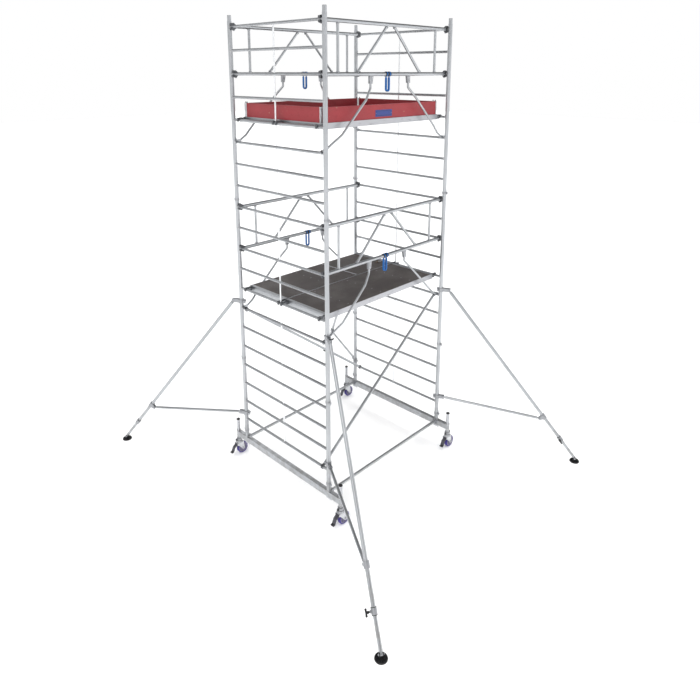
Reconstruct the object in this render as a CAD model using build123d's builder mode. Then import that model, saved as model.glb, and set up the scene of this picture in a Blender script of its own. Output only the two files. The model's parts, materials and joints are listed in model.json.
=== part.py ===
from build123d import *
import os
from math import atan2, cos, degrees, radians, sin

# Aluminium mobile tower scaffold with two full-width platforms and four telescopic outriggers.
# Millimetres, +Z up. X runs along the long bay, Y across the ladder frames. The origin is on the
# floor under the centre of the bay.

# ---- bay and heights ---------------------------------------------------------------------
bay_length = 2000.0           # ladder frame to ladder frame, post axes
bay_width = 1500.0            # post to post in one ladder frame, post axes
rung_pitch = 250.0
first_rung_z = 590.0
frame_base_z = 400.0          # foot of the lowest ladder frame
low_frame_rungs = 4
tall_frame_rungs = 8
lower_deck_rung = 7           # rungs above the lowest one that carry the platforms
upper_deck_rung = 15
knee_rungs = 2                # guard rails above the deck's rung, counted in rungs
top_rungs = 4
leg_rungs = 1                 # the rung that a guard rail's legs hook under

# ---- tubes -------------------------------------------------------------------------------
post_r = 24.15
post_wall = 2.2
rung_r = 15.0
rung_wall = 2.0
mid_bar_r = 9.0
guard_r = 20.0
guard_wall = 1.8
stay_r = 14.0                 # uprights and diagonals of a guard rail
leg_r = 12.0
brace_r = 16.0
brace_root = 34.0             # brace's tube ends this far from its rung's axis
brace_inset = 95.0            # braces inside the post's axis
base_rail_r = 17.5
base_rail_lift = 12.0         # base rail above the chassis beam's middle
rail_socket = 30.0            # length of the socket at each end of a base rail
arm_r = 20.0
arm_wall = 2.0
strut_r = 16.0
thin_wall = 1.8

# ---- clearances --------------------------------------------------------------------------
weld_root = 0.3               # root gap at a welded end, so each tube stays a piece of its own
slip = 0.5                    # radial gap of a sliding fit
running = 0.1                 # radial gap of a pin in its bore
seat = 0.5                    # gap between two faces that bear on each other
spigot_grip = 0.25

# ---- ladder frames -----------------------------------------------------------------------
spigot_above = 60.0
spigot_below = 110.0
spigot_wall = 3.0
clip_height = 24.0
clip_wall = 4.0
clip_lift = 10.0              # clip above the joint that it locks
clip_lug = 22.0

# ---- chassis -----------------------------------------------------------------------------
beam_top_z = 335.0
beam_height = 70.0
beam_width = 50.0
beam_wall = 3.0
castor_reach = 185.0          # castor stem beyond the post
sleeve_wall = 5.0
sleeve_above = 12.0           # sleeve above the beam
jack_nut_r = 33.0
jack_nut_height = 34.0
nut_rest = 1.0                # jack nut above the stem's flange at the lowest setting
wing_span = 84.0
wing_thick = 9.0

# ---- castors -----------------------------------------------------------------------------
stem_r = 19.0
stem_wall = 4.0
stem_top_z = 500.0
stem_cap = 12.0
stem_cap_r = 22.0
thread_pitch = 8.0
thread_depth = 1.4
wheel_r = 75.0
wheel_width = 46.0
tread_thick = 13.0
hub_r = 22.0
hub_length = 56.0
trail = 40.0                  # wheel axle beside the swivel axis
axle_r = 6.0
kingpin_r = 9.0
kingpin_head_r = 13.0
kingpin_head = 7.0
crown_gap = 10.0              # fork's crown above the wheel
crown_thick = 6.0
race_r = 33.0
race_height = 13.0
flange_thick = 10.0
fork_plate = 5.0
pedal_gap = 9.0               # pedal's pivot beside the wheel's tread
pedal_drop = 12.0             # and below the fork's crown
pedal_pin_r = 4.0
pedal_width = 58.0

# ---- outriggers --------------------------------------------------------------------------
splay = 29.6                  # degrees between an outrigger and the ladder frame's plane
arm_pin_x = 100.0             # arm's pin from the post's axis
upper_clamp_rung = 6          # upper clamp this many rungs above the lower one
clamp_above_rung = 80.0
foot_pin = (1780.0, 46.0)
arm_end_r = 1600.0            # outer tube ends here
coupler_r = 1360.0
clamp_height = 50.0
clamp_wall = 8.0
lower_pin_x = 72.0            # strut's pin from the post's axis
lug_gap = 12.5                # half the gap between a pair of lugs
lug_thick = 6.0
lug_depth = 44.0
lug_pin_r = 7.0
lug_neck = 36.0               # narrow end of a bar between lugs
leg_overlap = 700.0           # inner leg left inside the outer tube
leg_wall = 3.0
collar_wall = 7.0
collar_length = 56.0
foot_r = 58.0
foot_thick = 12.0
foot_ear = 8.0
foot_pin_r = 7.0
screw_r = 6.0
screw_reach = 46.0            # tee bar beyond the collar
tee_length = 62.0
tee_r = 8.0

# ---- platforms ---------------------------------------------------------------------------
deck_end_gap = 70.0           # platforms short of the posts' axes, at the ends
deck_side_gap = 90.0          # and along the sides
deck_seam = 10.0              # gap between the two decks of a level
deck_below = 28.0             # deck frame below and above its rung's axis
deck_above = 33.0
rail_width = 40.0
rail_wall = 2.5
deck_lip = 5.0
ply_thick = 12.0
ply_gap = 0.6
cross_depth = 30.0
hatch_length = 600.0
hatch_from_end = 100.0
knuckle_r = 6.0
knuckle_pin_r = 3.0
knuckle_length = 20.0
hook_thick = 26.0

# ---- toe boards --------------------------------------------------------------------------
toe_height = 152.0
toe_thick = 25.0
toe_inset = 8.0               # outer face inside the deck's edge
toe_cap = 14.0
toe_clear = 12.0              # open hatch beside a toe board
label_size = (270.0, 1.5, 72.0)
label_centre = (-38.0, 58.0)  # along the front board and above the deck

# ---- guard rails -------------------------------------------------------------------------
guard_inset = 50.0            # rails inside the post's axis
guard_end_gap = 40.0          # rail ends short of the posts' axes
upright_inset = 220.0
diagonal_low_x = 520.0
diagonal_high_x = 42.0
bracket_x = 300.0
bracket_drop = 96.0
bracket_width = 58.0
claw_thick = 30.0
claw_half = 40.0
leg_swing = 35.0              # how far a leg bends out round the deck's edge
leg_end_gap = 45.0            # leg's foot short of the posts' axes
loop_offset = 40.0            # release loop beside the bay's centre
loop_width = 46.0             # between the loop's two sides, axis to axis
loop_drop = 175.0
loop_r = 6.5
loop_ring = 6.0

# ---- values worked out from those above --------------------------------------------------
post_x = bay_length / 2
post_y = bay_width / 2
post_bore = post_r - post_wall
low_frame_height = low_frame_rungs * rung_pitch
tall_frame_height = tall_frame_rungs * rung_pitch
frame_tops = [frame_base_z + low_frame_height,
              frame_base_z + low_frame_height + tall_frame_height,
              frame_base_z + low_frame_height + 2 * tall_frame_height]
deck_rung_z = {"lower": first_rung_z + lower_deck_rung * rung_pitch,
               "upper": first_rung_z + upper_deck_rung * rung_pitch}
knee_above_deck = knee_rungs * rung_pitch
top_above_deck = top_rungs * rung_pitch
leg_below_deck = leg_rungs * rung_pitch
castor_y = post_y + castor_reach
beam_mid_z = beam_top_z - beam_height / 2
sleeve_bore = stem_r + slip
sleeve_r = sleeve_bore + sleeve_wall
crown_z = 2 * wheel_r + crown_gap
pedal_pivot = (trail - wheel_r - pedal_gap, crown_z - pedal_drop)
flange_z = crown_z + crown_thick + race_height + seat
stem_low_z = flange_z + flange_thick
sleeve_low_z = stem_low_z + nut_rest + jack_nut_height + seat
lower_clamp_z = first_rung_z + clamp_above_rung
arm_top = (arm_pin_x, lower_clamp_z + upper_clamp_rung * rung_pitch)
deck_half_length = post_x - deck_end_gap
deck_outer_y = post_y - deck_side_gap
deck_width = deck_outer_y - deck_seam / 2
hatch_outer_y = deck_outer_y - toe_inset - toe_thick - toe_clear
guard_y = post_y - guard_inset
guard_end = post_x - guard_end_gap
upright_x = post_x - upright_inset
leg_end_x = post_x - leg_end_gap
corners = {"front_left": (-1, -1), "front_right": (1, -1),
           "rear_right": (1, 1), "rear_left": (-1, 1)}
sides = {"left": -1, "right": 1}
ends = {"front": -1, "rear": 1}

os.makedirs("parts", exist_ok=True)


# ---- helpers -----------------------------------------------------------------------------
def tube(start, end, radius, bore=0.0, mode=Mode.ADD):
    """A round bar, or a tube where it has a bore, from one point to another."""
    run = Vector(end) - Vector(start)
    with BuildSketch(Plane(origin=start, z_dir=run)) as section:
        Circle(radius)
        if bore:
            Circle(bore, mode=Mode.SUBTRACT)
    extrude(section.sketch, amount=run.length, mode=mode)


def block(low, high, mode=Mode.ADD):
    """A rectangular block between two opposite corners."""
    centre = [(a + b) / 2 for a, b in zip(low, high)]
    size = [abs(b - a) for a, b in zip(low, high)]
    with Locations(tuple(centre)):
        Box(*size, mode=mode)


def plate(points, plane, thickness, mode=Mode.ADD):
    """A flat plate with straight edges, half its thickness to each side of its plane."""
    with BuildSketch(plane) as outline:
        with BuildLine():
            Polyline(*points, close=True)
        make_face()
    extrude(outline.sketch, amount=thickness / 2, both=True, mode=mode)


def save(part, name):
    """Label a finished piece and write it as a node."""
    part.label = name
    export_step(part, f"parts/{name}.step")


# ---- ladder frames -----------------------------------------------------------------------
def ladder_frame(side, base_z, top_z, rung_count):
    """Two posts with spigots, rungs across them and a thin bar up the middle."""
    x = side * post_x
    rungs = [base_z + first_rung_z - frame_base_z + n * rung_pitch for n in range(rung_count)]
    rung_spots = [(x, z) for z in rungs]
    across = Plane(origin=(0, -post_y, 0), x_dir=(1, 0, 0), z_dir=(0, 1, 0))
    rung_points = [(px, -z) for px, z in rung_spots]
    post_points = [(x, -post_y), (x, post_y)]
    height = top_z - base_z
    with BuildPart() as frame:
        tube((x, 0, rungs[0]), (x, 0, rungs[-1]), mid_bar_r, mid_bar_r - thin_wall)
        with BuildSketch(across) as clear:
            with Locations(*rung_points):
                Circle(rung_r + weld_root)
        extrude(clear.sketch, amount=bay_width, mode=Mode.SUBTRACT)
        with BuildSketch(across) as rung_section:
            with Locations(*rung_points):
                Circle(rung_r)
            with Locations(*rung_points):
                Circle(rung_r - rung_wall, mode=Mode.SUBTRACT)
        extrude(rung_section.sketch, amount=bay_width)
        with BuildSketch(Plane.XY.offset(base_z)) as cope:
            with Locations(*post_points):
                Circle(post_r + weld_root)
        extrude(cope.sketch, amount=height, mode=Mode.SUBTRACT)
        with BuildSketch(Plane.XY.offset(base_z)) as posts:
            with Locations(*post_points):
                Circle(post_r)
            with Locations(*post_points):
                Circle(post_bore, mode=Mode.SUBTRACT)
        extrude(posts.sketch, amount=height)
        for end in (-1, 1):
            spigot(x, end * post_y, top_z)
            locking_clip(x, end * post_y, base_z + clip_lift, end)
    return frame.part


def spigot(x, y, joint_z):
    """The turned-down stub on which the next frame stands, with a chamfered nose."""
    grip_r = post_bore - spigot_grip
    free_r = post_bore - slip
    bore = free_r - spigot_wall
    nose = 4.0
    with BuildSketch(Plane(origin=(x, y, 0), x_dir=(1, 0, 0), z_dir=(0, -1, 0))) as profile:
        with BuildLine():
            Polyline((bore, joint_z - spigot_below), (grip_r, joint_z - spigot_below),
                     (grip_r, joint_z), (free_r, joint_z), (free_r, joint_z + spigot_above - nose),
                     (free_r - nose / 2, joint_z + spigot_above),
                     (bore, joint_z + spigot_above), close=True)
        make_face()
    revolve(profile.sketch, axis=Axis((x, y, 0), (0, 0, 1)))


def locking_clip(x, y, z, end):
    """Spring band round the post with the lug that locks the joint below it."""
    band_r = post_r + weld_root
    with BuildSketch(Plane.XY.offset(z)) as band:
        with Locations((x, y)):
            Circle(band_r + clip_wall)
            Circle(band_r, mode=Mode.SUBTRACT)
        with Locations((x, y + end * (band_r + clip_lug / 2))):
            Rectangle(12, clip_lug)
        with Locations((x, y)):
            Circle(band_r, mode=Mode.SUBTRACT)
    extrude(band.sketch, amount=clip_height)


# ---- chassis -----------------------------------------------------------------------------
def chassis_beam(side):
    """Box beam with a stub for each post, a sleeve at each end and the jack nuts under them."""
    x = side * post_x
    half = beam_width / 2
    low_z = beam_top_z - beam_height
    with BuildPart() as beam:
        block((x - half, -castor_y, low_z), (x + half, castor_y, beam_top_z))
        inner = half - beam_wall
        block((x - inner, -castor_y, low_z + beam_wall), (x + inner, castor_y, beam_top_z - beam_wall),
              mode=Mode.SUBTRACT)
        for end in (-1, 1):
            y = end * castor_y
            tube((x, y, sleeve_low_z), (x, y, beam_top_z + sleeve_above), sleeve_r + weld_root,
                 mode=Mode.SUBTRACT)
        for end in (-1, 1):
            y = end * castor_y
            tube((x, y, sleeve_low_z), (x, y, beam_top_z + sleeve_above), sleeve_r, sleeve_bore)
            post_stub(x, end * post_y)
        for end in (-1, 1):
            jack_nut(x, end * castor_y)
            beam_wing_bolt(x, end * post_y, low_z)
    return beam.part


def post_stub(x, y):
    """Stub on the beam that a post stands on, with the spigot inside the post."""
    shoulder = frame_base_z - seat
    bore = post_bore - 6
    with BuildSketch(Plane(origin=(x, y, 0), x_dir=(1, 0, 0), z_dir=(0, -1, 0))) as profile:
        with BuildLine():
            Polyline((bore, beam_top_z + weld_root), (post_r, beam_top_z + weld_root),
                     (post_r, shoulder), (post_bore - slip, shoulder),
                     (post_bore - slip, shoulder + spigot_above), (bore, shoulder + spigot_above),
                     close=True)
        make_face()
    revolve(profile.sketch, axis=Axis((x, y, 0), (0, 0, 1)))


def jack_nut(x, y):
    """Winged nut that carries the sleeve on the threaded stem."""
    top = sleeve_low_z - seat
    low = top - jack_nut_height
    with BuildSketch(Plane.XY.offset(low)) as nut:
        with Locations((x, y)):
            Circle(jack_nut_r)
            Circle(sleeve_bore, mode=Mode.SUBTRACT)
    extrude(nut.sketch, amount=jack_nut_height)
    with BuildSketch(Plane.XY.offset(low + 8)) as wings:
        with Locations((x, y)):
            Rectangle(2 * jack_nut_r + 40, 14)
            Circle(sleeve_bore, mode=Mode.SUBTRACT)
    extrude(wings.sketch, amount=jack_nut_height - 14)


def beam_wing_bolt(x, y, low_z):
    """Bolt up through the beam into the stub, with a wing nut hanging under the beam."""
    top = low_z - weld_root
    tube((x, y, top - 8), (x, y, top), 16)
    tube((x, y, top - 34), (x, y, top - 8), 6)
    plate([(-wing_span / 2, top - 38), (-wing_span / 2 + 8, top - 14), (0, top - 26),
           (wing_span / 2 - 8, top - 14), (wing_span / 2, top - 38), (0, top - 36)],
          Plane(origin=(x, y, 0), x_dir=(0, 1, 0), z_dir=(1, 0, 0)), wing_thick)


def base_rails():
    """Two horizontal rails, one along each long side, clamped to the chassis beams."""
    z = beam_mid_z + base_rail_lift
    reach = post_x - beam_width / 2 - weld_root
    rail_end = reach - rail_socket
    with BuildPart() as rails:
        for end in (-1, 1):
            y = end * post_y
            tube((-rail_end, y, z), (rail_end, y, z), base_rail_r, base_rail_r - thin_wall)
            for side in (-1, 1):
                block((side * (rail_end + weld_root), y - 24, z - 26), (side * reach, y + 24, z + 26))
    return rails.part


# ---- castors, made on the swivel axis ----------------------------------------------------
def castor_stem():
    """Threaded hollow stem with its bearing flange, kingpin and plastic cap."""
    thread_low = stem_low_z + 6
    thread_high = stem_top_z - stem_cap - 6
    root_r = stem_r - thread_depth
    turns = int((thread_high - thread_low) / thread_pitch)
    outline = [(0, crown_z - seat - kingpin_head), (kingpin_head_r, crown_z - seat - kingpin_head),
               (kingpin_head_r, crown_z - seat), (kingpin_r, crown_z - seat),
               (kingpin_r, flange_z), (race_r, flange_z), (race_r, stem_low_z),
               (stem_r, stem_low_z), (stem_r, thread_low)]
    for turn in range(turns):
        z = thread_low + turn * thread_pitch
        outline += [(root_r, z + 2), (root_r, z + thread_pitch / 2),
                    (stem_r, z + thread_pitch / 2 + 2), (stem_r, z + thread_pitch)]
    outline += [(stem_r, stem_top_z - stem_cap), (stem_r - stem_wall, stem_top_z - stem_cap),
                (stem_r - stem_wall, stem_low_z), (0, stem_low_z)]
    with BuildPart() as stem:
        with BuildSketch(Plane.XZ):
            with BuildLine():
                Polyline(*outline, close=True)
            make_face()
        revolve(axis=Axis.Z)
        with BuildSketch(Plane.XY.offset(stem_top_z - stem_cap + weld_root)):
            Circle(stem_cap_r)
        extrude(amount=stem_cap)
        fillet(stem.edges().group_by(Axis.Z)[-1], stem_cap / 3)
    return stem.part


def castor_fork():
    """Swivel crown with its ball race, two cheeks down to the axle and the pedal's ears."""
    cheek_in = hub_length / 2 + slip
    cheek_out = cheek_in + fork_plate
    with BuildPart() as fork:
        with BuildSketch(Plane.XY.offset(crown_z)):
            with Locations((4, 0)):
                RectangleRounded(96, 2 * cheek_out, 10)
        extrude(amount=crown_thick)
        with BuildSketch(Plane.XY.offset(crown_z + crown_thick)):
            Circle(race_r)
        extrude(amount=race_height)
        with BuildSketch(Plane.XY.offset(crown_z)):
            Circle(kingpin_r + running)
        extrude(amount=crown_thick + race_height, mode=Mode.SUBTRACT)
        for side in (-1, 1):
            middle = Plane(origin=(0, side * (cheek_in + fork_plate / 2), 0), x_dir=(1, 0, 0),
                           z_dir=(0, -1, 0))
            plate(cheek_outline(), middle, fork_plate)
            tube((trail, side * cheek_in, wheel_r), (trail, side * cheek_out, wheel_r), 20)
        tube((trail, -cheek_out - 5, wheel_r), (trail, cheek_out + 5, wheel_r), axle_r)
        for side in (-1, 1):
            tube((trail, side * cheek_out, wheel_r), (trail, side * (cheek_out + 8), wheel_r), 11)
        pivot_x, pivot_z = pedal_pivot
        tube((pivot_x, -cheek_out, pivot_z), (pivot_x, cheek_out, pivot_z), pedal_pin_r)
    return fork.part


def cheek_outline():
    """Side view of one fork cheek: wide at the crown, leaning back to the axle."""
    pivot_x, pivot_z = pedal_pivot
    return [(pivot_x - 8, crown_z), (pivot_x - 8, pivot_z - 8), (pivot_x + 6, pivot_z - 12),
            (trail - 19, wheel_r - 4), (trail + 19, wheel_r - 4), (46, crown_z - 24), (50, crown_z)]


def castor_wheel():
    """Tyre, rim and hub of one wheel, bored for its axle."""
    half = wheel_width / 2
    rim_r = wheel_r - tread_thick
    with BuildPart() as wheel:
        axle_plane = Plane(origin=(trail, 0, wheel_r), x_dir=(1, 0, 0), z_dir=(0, 0, 1))
        with BuildSketch(axle_plane):
            with BuildLine():
                Polyline((axle_r + running, -hub_length / 2), (hub_r, -hub_length / 2),
                         (hub_r, -8), (rim_r - 7, -8), (rim_r - 7, -half + 2), (rim_r, -half + 2),
                         (rim_r, half - 2), (rim_r - 7, half - 2), (rim_r - 7, 8), (hub_r, 8),
                         (hub_r, hub_length / 2), (axle_r + running, hub_length / 2), close=True)
            make_face()
        revolve(axis=Axis((trail, 0, wheel_r), (0, 1, 0)))
        with BuildSketch(axle_plane) as tyre:
            with BuildLine():
                Polyline((rim_r + weld_root, -half), (wheel_r - 5, -half), (wheel_r, -half + 7),
                         (wheel_r, half - 7), (wheel_r - 5, half), (rim_r + weld_root, half),
                         close=True)
            make_face()
        revolve(tyre.sketch, axis=Axis((trail, 0, wheel_r), (0, 1, 0)))
    return wheel.part


def brake_pedal():
    """Foot lever over the wheel, with the shoe that presses on the tread."""
    pivot_x, pivot_z = pedal_pivot
    boss_r = pedal_pin_r + running + 4
    flat = Plane(origin=(0, 0, 0), x_dir=(1, 0, 0), z_dir=(0, -1, 0))
    with BuildPart() as pedal:
        lever = [(2, 5), (-44, -24), (-66, -76), (-88, -84), (-90, -90), (-62, -84), (-38, -30), (2, -3)]
        plate([(pivot_x + dx, pivot_z + dz) for dx, dz in lever], flat, pedal_width - 10)
        tube((pivot_x, -pedal_width / 2 + 3, pivot_z), (pivot_x, pedal_width / 2 - 3, pivot_z), boss_r)
        plate([(pivot_x - 3, pivot_z), (pivot_x + 4, pivot_z), (pivot_x + 17, pivot_z - 27),
               (pivot_x + 11, pivot_z - 33)], flat, wheel_width - 10)
        tube((pivot_x, -pedal_width, pivot_z), (pivot_x, pedal_width, pivot_z), pedal_pin_r + running,
             mode=Mode.SUBTRACT)
    return pedal.part


# ---- outriggers, made with the post on the Z axis and the arm towards +X -----------------
arm_run = Vector(foot_pin[0] - arm_top[0], 0, foot_pin[1] - arm_top[1])
arm_dir = arm_run.normalized()


def on_arm(radius):
    """The point of the arm's axis at a distance from the post."""
    return Vector(arm_top[0], 0, arm_top[1]) + arm_dir * ((radius - arm_top[0]) / arm_dir.X)


def post_clamp(z, pin_x):
    """Clamp ring round the post with its closing bolt, two lugs and the pin through them."""
    ring_r = post_r + slip
    reach = pin_x + lug_depth / 2
    with BuildSketch(Plane.XY.offset(z - clamp_height / 2)) as ring:
        Circle(ring_r + clamp_wall)
        with Locations((-ring_r - 12, 0)):
            Rectangle(26, 18)
        Circle(ring_r, mode=Mode.SUBTRACT)
    extrude(ring.sketch, amount=clamp_height)
    tube((-ring_r - 16, -26, z), (-ring_r - 16, 22, z), 6)
    tube((-ring_r - 16, -26, z), (-ring_r - 16, -18, z), 11)
    with BuildSketch(Plane.XY.offset(z - lug_depth / 2)) as lugs:
        for side in (-1, 1):
            with Locations(((ring_r + reach) / 2, side * (lug_gap + lug_thick / 2))):
                Rectangle(reach - ring_r, lug_thick)
        Circle(ring_r, mode=Mode.SUBTRACT)
    extrude(lugs.sketch, amount=lug_depth)
    cross_pin(Vector(pin_x, 0, z))


def cross_pin(at):
    """Pin across a pair of lugs, with a head and a nut outside them."""
    outside = lug_gap + lug_thick
    tube((at.X, -outside - 4, at.Z), (at.X, outside + 4, at.Z), lug_pin_r)
    for side in (-1, 1):
        tube((at.X, side * outside, at.Z), (at.X, side * (outside + 6), at.Z), lug_pin_r + 4)


def necked_bar(start, end, radius, bore, first_neck, last_neck=0.0):
    """Tube closed at each necked end, where a narrower eye takes the cross pin."""
    length = (end - start).length
    eye_half = lug_gap - seat
    neck_r = eye_half - 1.0
    plug = 8.0
    outline = [(0, 0), (0, neck_r), (first_neck, neck_r), (first_neck, radius)]
    if last_neck:
        outline += [(length - last_neck, radius), (length - last_neck, neck_r), (length, neck_r),
                    (length, 0), (length - last_neck - plug, 0), (length - last_neck - plug, bore)]
    else:
        outline += [(length, radius), (length, bore)]
    outline += [(first_neck + plug, bore), (first_neck + plug, 0)]
    profile = Plane(origin=start, x_dir=end - start, z_dir=(0, -1, 0))
    with BuildSketch(profile) as section:
        with BuildLine():
            Polyline(*outline, close=True)
        make_face()
    revolve(section.sketch, axis=Axis(start, end - start))
    eyes = [start, end] if last_neck else [start]
    for eye in eyes:
        tube((eye.X, -eye_half, eye.Z), (eye.X, eye_half, eye.Z), eye_half + 2)
    for eye in eyes:
        tube((eye.X, -radius, eye.Z), (eye.X, radius, eye.Z), lug_pin_r + running, mode=Mode.SUBTRACT)


def outrigger_arm():
    """Clamps, sliding outer tube, strut, coupler and end collar of one outrigger."""
    start = on_arm(arm_top[0])
    end = on_arm(arm_end_r)
    coupler = on_arm(coupler_r)
    bore = arm_r - arm_wall
    below = Vector(arm_dir.Z, 0, -arm_dir.X)
    strut_end = coupler + below * (arm_r + 34)
    strut_start = Vector(lower_pin_x, 0, lower_clamp_z)
    collar_start = end - arm_dir * collar_length
    boss = end - arm_dir * (collar_length / 2)
    flat = Plane(origin=(0, 0, 0), x_dir=(1, 0, 0), z_dir=(0, -1, 0))
    with BuildPart() as arm:
        necked_bar(start, end, arm_r, bore, lug_neck)
        tube(boss, (boss.X, -2 * arm_r, boss.Z), screw_r + slip, mode=Mode.SUBTRACT)
        necked_bar(strut_start, strut_end, strut_r, strut_r - thin_wall, lug_neck, lug_neck)
        post_clamp(arm_top[1], arm_top[0])
        post_clamp(lower_clamp_z, lower_pin_x)
        half = arm_dir * 30
        tube(coupler - half, coupler + half, arm_r + 9, arm_r + weld_root)
        for side in (-1, 1):
            lug = flat.offset(side * (lug_gap + lug_thick / 2))
            high = coupler - half * 0.8 + below * (arm_r + 2)
            low = coupler + half * 0.8 + below * (arm_r + 2)
            plate([(high.X, high.Z), (low.X, low.Z), (strut_end.X + 14, strut_end.Z - 14),
                   (strut_end.X - 14, strut_end.Z - 16), (strut_end.X - 18, strut_end.Z + 4)],
                  lug, lug_thick)
        cross_pin(strut_end)
        tube(collar_start, end, arm_r + collar_wall, arm_r + weld_root)
        tube((boss.X, -arm_r - 2, boss.Z), (boss.X, -arm_r - collar_wall - 10, boss.Z), 13)
        tube(boss, (boss.X, -arm_r - collar_wall - 12, boss.Z), screw_r + slip, mode=Mode.SUBTRACT)
    return arm.part


def outrigger_leg():
    """Inner tube that slides in the arm and ends in the foot's pin."""
    start = on_arm(arm_end_r) - arm_dir * leg_overlap
    end = Vector(foot_pin[0], 0, foot_pin[1])
    radius = arm_r - arm_wall - slip
    with BuildPart() as leg:
        tube(start, (end - arm_dir * 26), radius, radius - leg_wall)
        tube((end - arm_dir * 34), (end - arm_dir * 20), radius)
        tube((end - arm_dir * 24), end, 11)
        tube((end.X, -12, end.Z), (end.X, 12, end.Z), 15)
        tube((end.X, -40, end.Z), (end.X, 40, end.Z), foot_pin_r + running, mode=Mode.SUBTRACT)
    return leg.part


def outrigger_foot():
    """Round pad with two ears and the pin on which it tilts."""
    x, z = foot_pin
    ear_in = 12 + slip
    with BuildPart() as foot:
        with BuildSketch():
            with Locations((x, 0)):
                Circle(foot_r)
        extrude(amount=foot_thick)
        fillet(foot.edges().group_by(Axis.Z)[-1], 4)
        for side in (-1, 1):
            block((x - 15, side * ear_in, foot_thick - 2), (x + 15, side * (ear_in + foot_ear), z))
            tube((x, side * ear_in, z), (x, side * (ear_in + foot_ear), z), 15)
        tube((x, -ear_in - foot_ear - 3, z), (x, ear_in + foot_ear + 3, z), foot_pin_r)
    return foot.part


def clamp_screw():
    """Tee-handled screw that clamps the inner leg."""
    boss = on_arm(arm_end_r) - arm_dir * (collar_length / 2)
    tip_y = -(arm_r - arm_wall - slip) - 0.6
    tee_y = -arm_r - collar_wall - screw_reach
    with BuildPart() as screw:
        tube((boss.X, tip_y, boss.Z), (boss.X, tee_y, boss.Z), screw_r)
        tube((boss.X, tee_y + 26, boss.Z), (boss.X, tee_y, boss.Z), 11)
        low = Vector(boss.X, tee_y, boss.Z) - arm_dir * (tee_length / 2)
        high = Vector(boss.X, tee_y, boss.Z) + arm_dir * (tee_length / 2)
        tube(low, high, tee_r)
    return screw.part


def outrigger_place(side, end):
    """Where an outrigger stands: on its post, turned outwards by the splay."""
    heading = degrees(atan2(end * cos(radians(splay)), side * sin(radians(splay))))
    return Location((side * post_x, end * post_y, 0), (0, 0, heading))


# ---- platforms ---------------------------------------------------------------------------
def platform_frame(end, rung_z, hatch_side):
    """Side rails, end rails and cross members of one deck; a hatch adds its hinges."""
    near = end * deck_seam / 2
    far = end * deck_outer_y
    low = rung_z - deck_below
    high = rung_z + deck_above
    ply_z = high - ply_thick
    inner_x = deck_half_length - rail_width
    with BuildPart() as deck:
        for edge, inward in ((near, end), (far, -end)):
            side_rail(edge, inward, low, ply_z, high, inner_x)
        for side in (-1, 1):
            end_rail(side, near, far, low, high)
        a = near + end * (rail_width + weld_root)
        b = far - end * (rail_width + weld_root)
        for x in cross_member_places(hatch_side):
            block((x - 20, a, ply_z - cross_depth), (x + 20, b, ply_z - weld_root))
            block((x - 17.5, a, ply_z - cross_depth + 2.5), (x + 17.5, b, ply_z - 2.5 - weld_root),
                  mode=Mode.SUBTRACT)
        if hatch_side:
            for y in hinge_places(end):
                fixed_knuckle(hatch_side, y, high)
    return deck.part


def side_rail(edge, inward, low, ply_z, high, reach):
    """Box rail under the plywood with the lip that covers the plywood's edge."""
    across = Plane(origin=(-reach, 0, 0), x_dir=(0, 1, 0), z_dir=(1, 0, 0))
    inner = edge + inward * rail_width
    lip = edge + inward * deck_lip
    with BuildSketch(across) as profile:
        with BuildLine():
            Polyline((edge, low), (inner, low), (inner, ply_z), (lip, ply_z), (lip, high),
                     (edge, high), close=True)
        make_face()
        with Locations(((edge + inner) / 2, (low + ply_z) / 2)):
            Rectangle(rail_width - 2 * rail_wall, ply_z - low - 2 * rail_wall, mode=Mode.SUBTRACT)
    extrude(profile.sketch, amount=2 * reach)


def end_rail(side, near, far, low, high):
    """Fluted rail across one end of a deck."""
    outer = side * deck_half_length
    inner = side * (deck_half_length - rail_width + weld_root)
    block((outer, near, low), (inner, far, high))
    block((outer - side * rail_wall, near, low + rail_wall),
          (inner + side * rail_wall, far, high - rail_wall), mode=Mode.SUBTRACT)
    groove = 1.2
    for share in (0.3, 0.7):
        z = low + share * (high - low)
        block((outer, near, z - 2.5), (outer - side * groove, far, z + 2.5), mode=Mode.SUBTRACT)
        x = outer - side * share * rail_width
        block((x - 2.5, near, high), (x + 2.5, far, high - groove), mode=Mode.SUBTRACT)


def hatch_edges(hatch_side):
    """Hinged and free edge of a hatch along X."""
    hinge = hatch_side * (deck_half_length - hatch_from_end)
    return hinge, hinge - hatch_side * hatch_length


def cross_member_places(hatch_side):
    """Cross members stand under the plywood, and under both ends of a hatch."""
    if not hatch_side:
        return (-540.0, 0.0, 540.0)
    hinge, free = hatch_edges(hatch_side)
    return (hinge, free, -hatch_side * 240.0, -hatch_side * 600.0)


def hinge_places(end):
    """Distances along the hinged edge to the middle of each hinge."""
    return [end * (deck_seam / 2 + deck_width * share) for share in (0.25, 0.75)]


def fixed_knuckle(hatch_side, y, deck_top):
    """Leaf on the fixed strip with one knuckle and the pin through both knuckles."""
    x = hatch_edges(hatch_side)[0]
    z = deck_top + knuckle_r + 1
    low = y - knuckle_length - 1
    block((x + hatch_side * 34, low, deck_top + weld_root), (x + hatch_side * 3, y - 1, deck_top + 3))
    block((x + hatch_side * 6, low, deck_top + weld_root), (x, y - 1, z))
    tube((x, low, z), (x, y - 1, z), knuckle_r)
    tube((x, low, z), (x, y + knuckle_length + 2, z), knuckle_pin_r)


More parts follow.
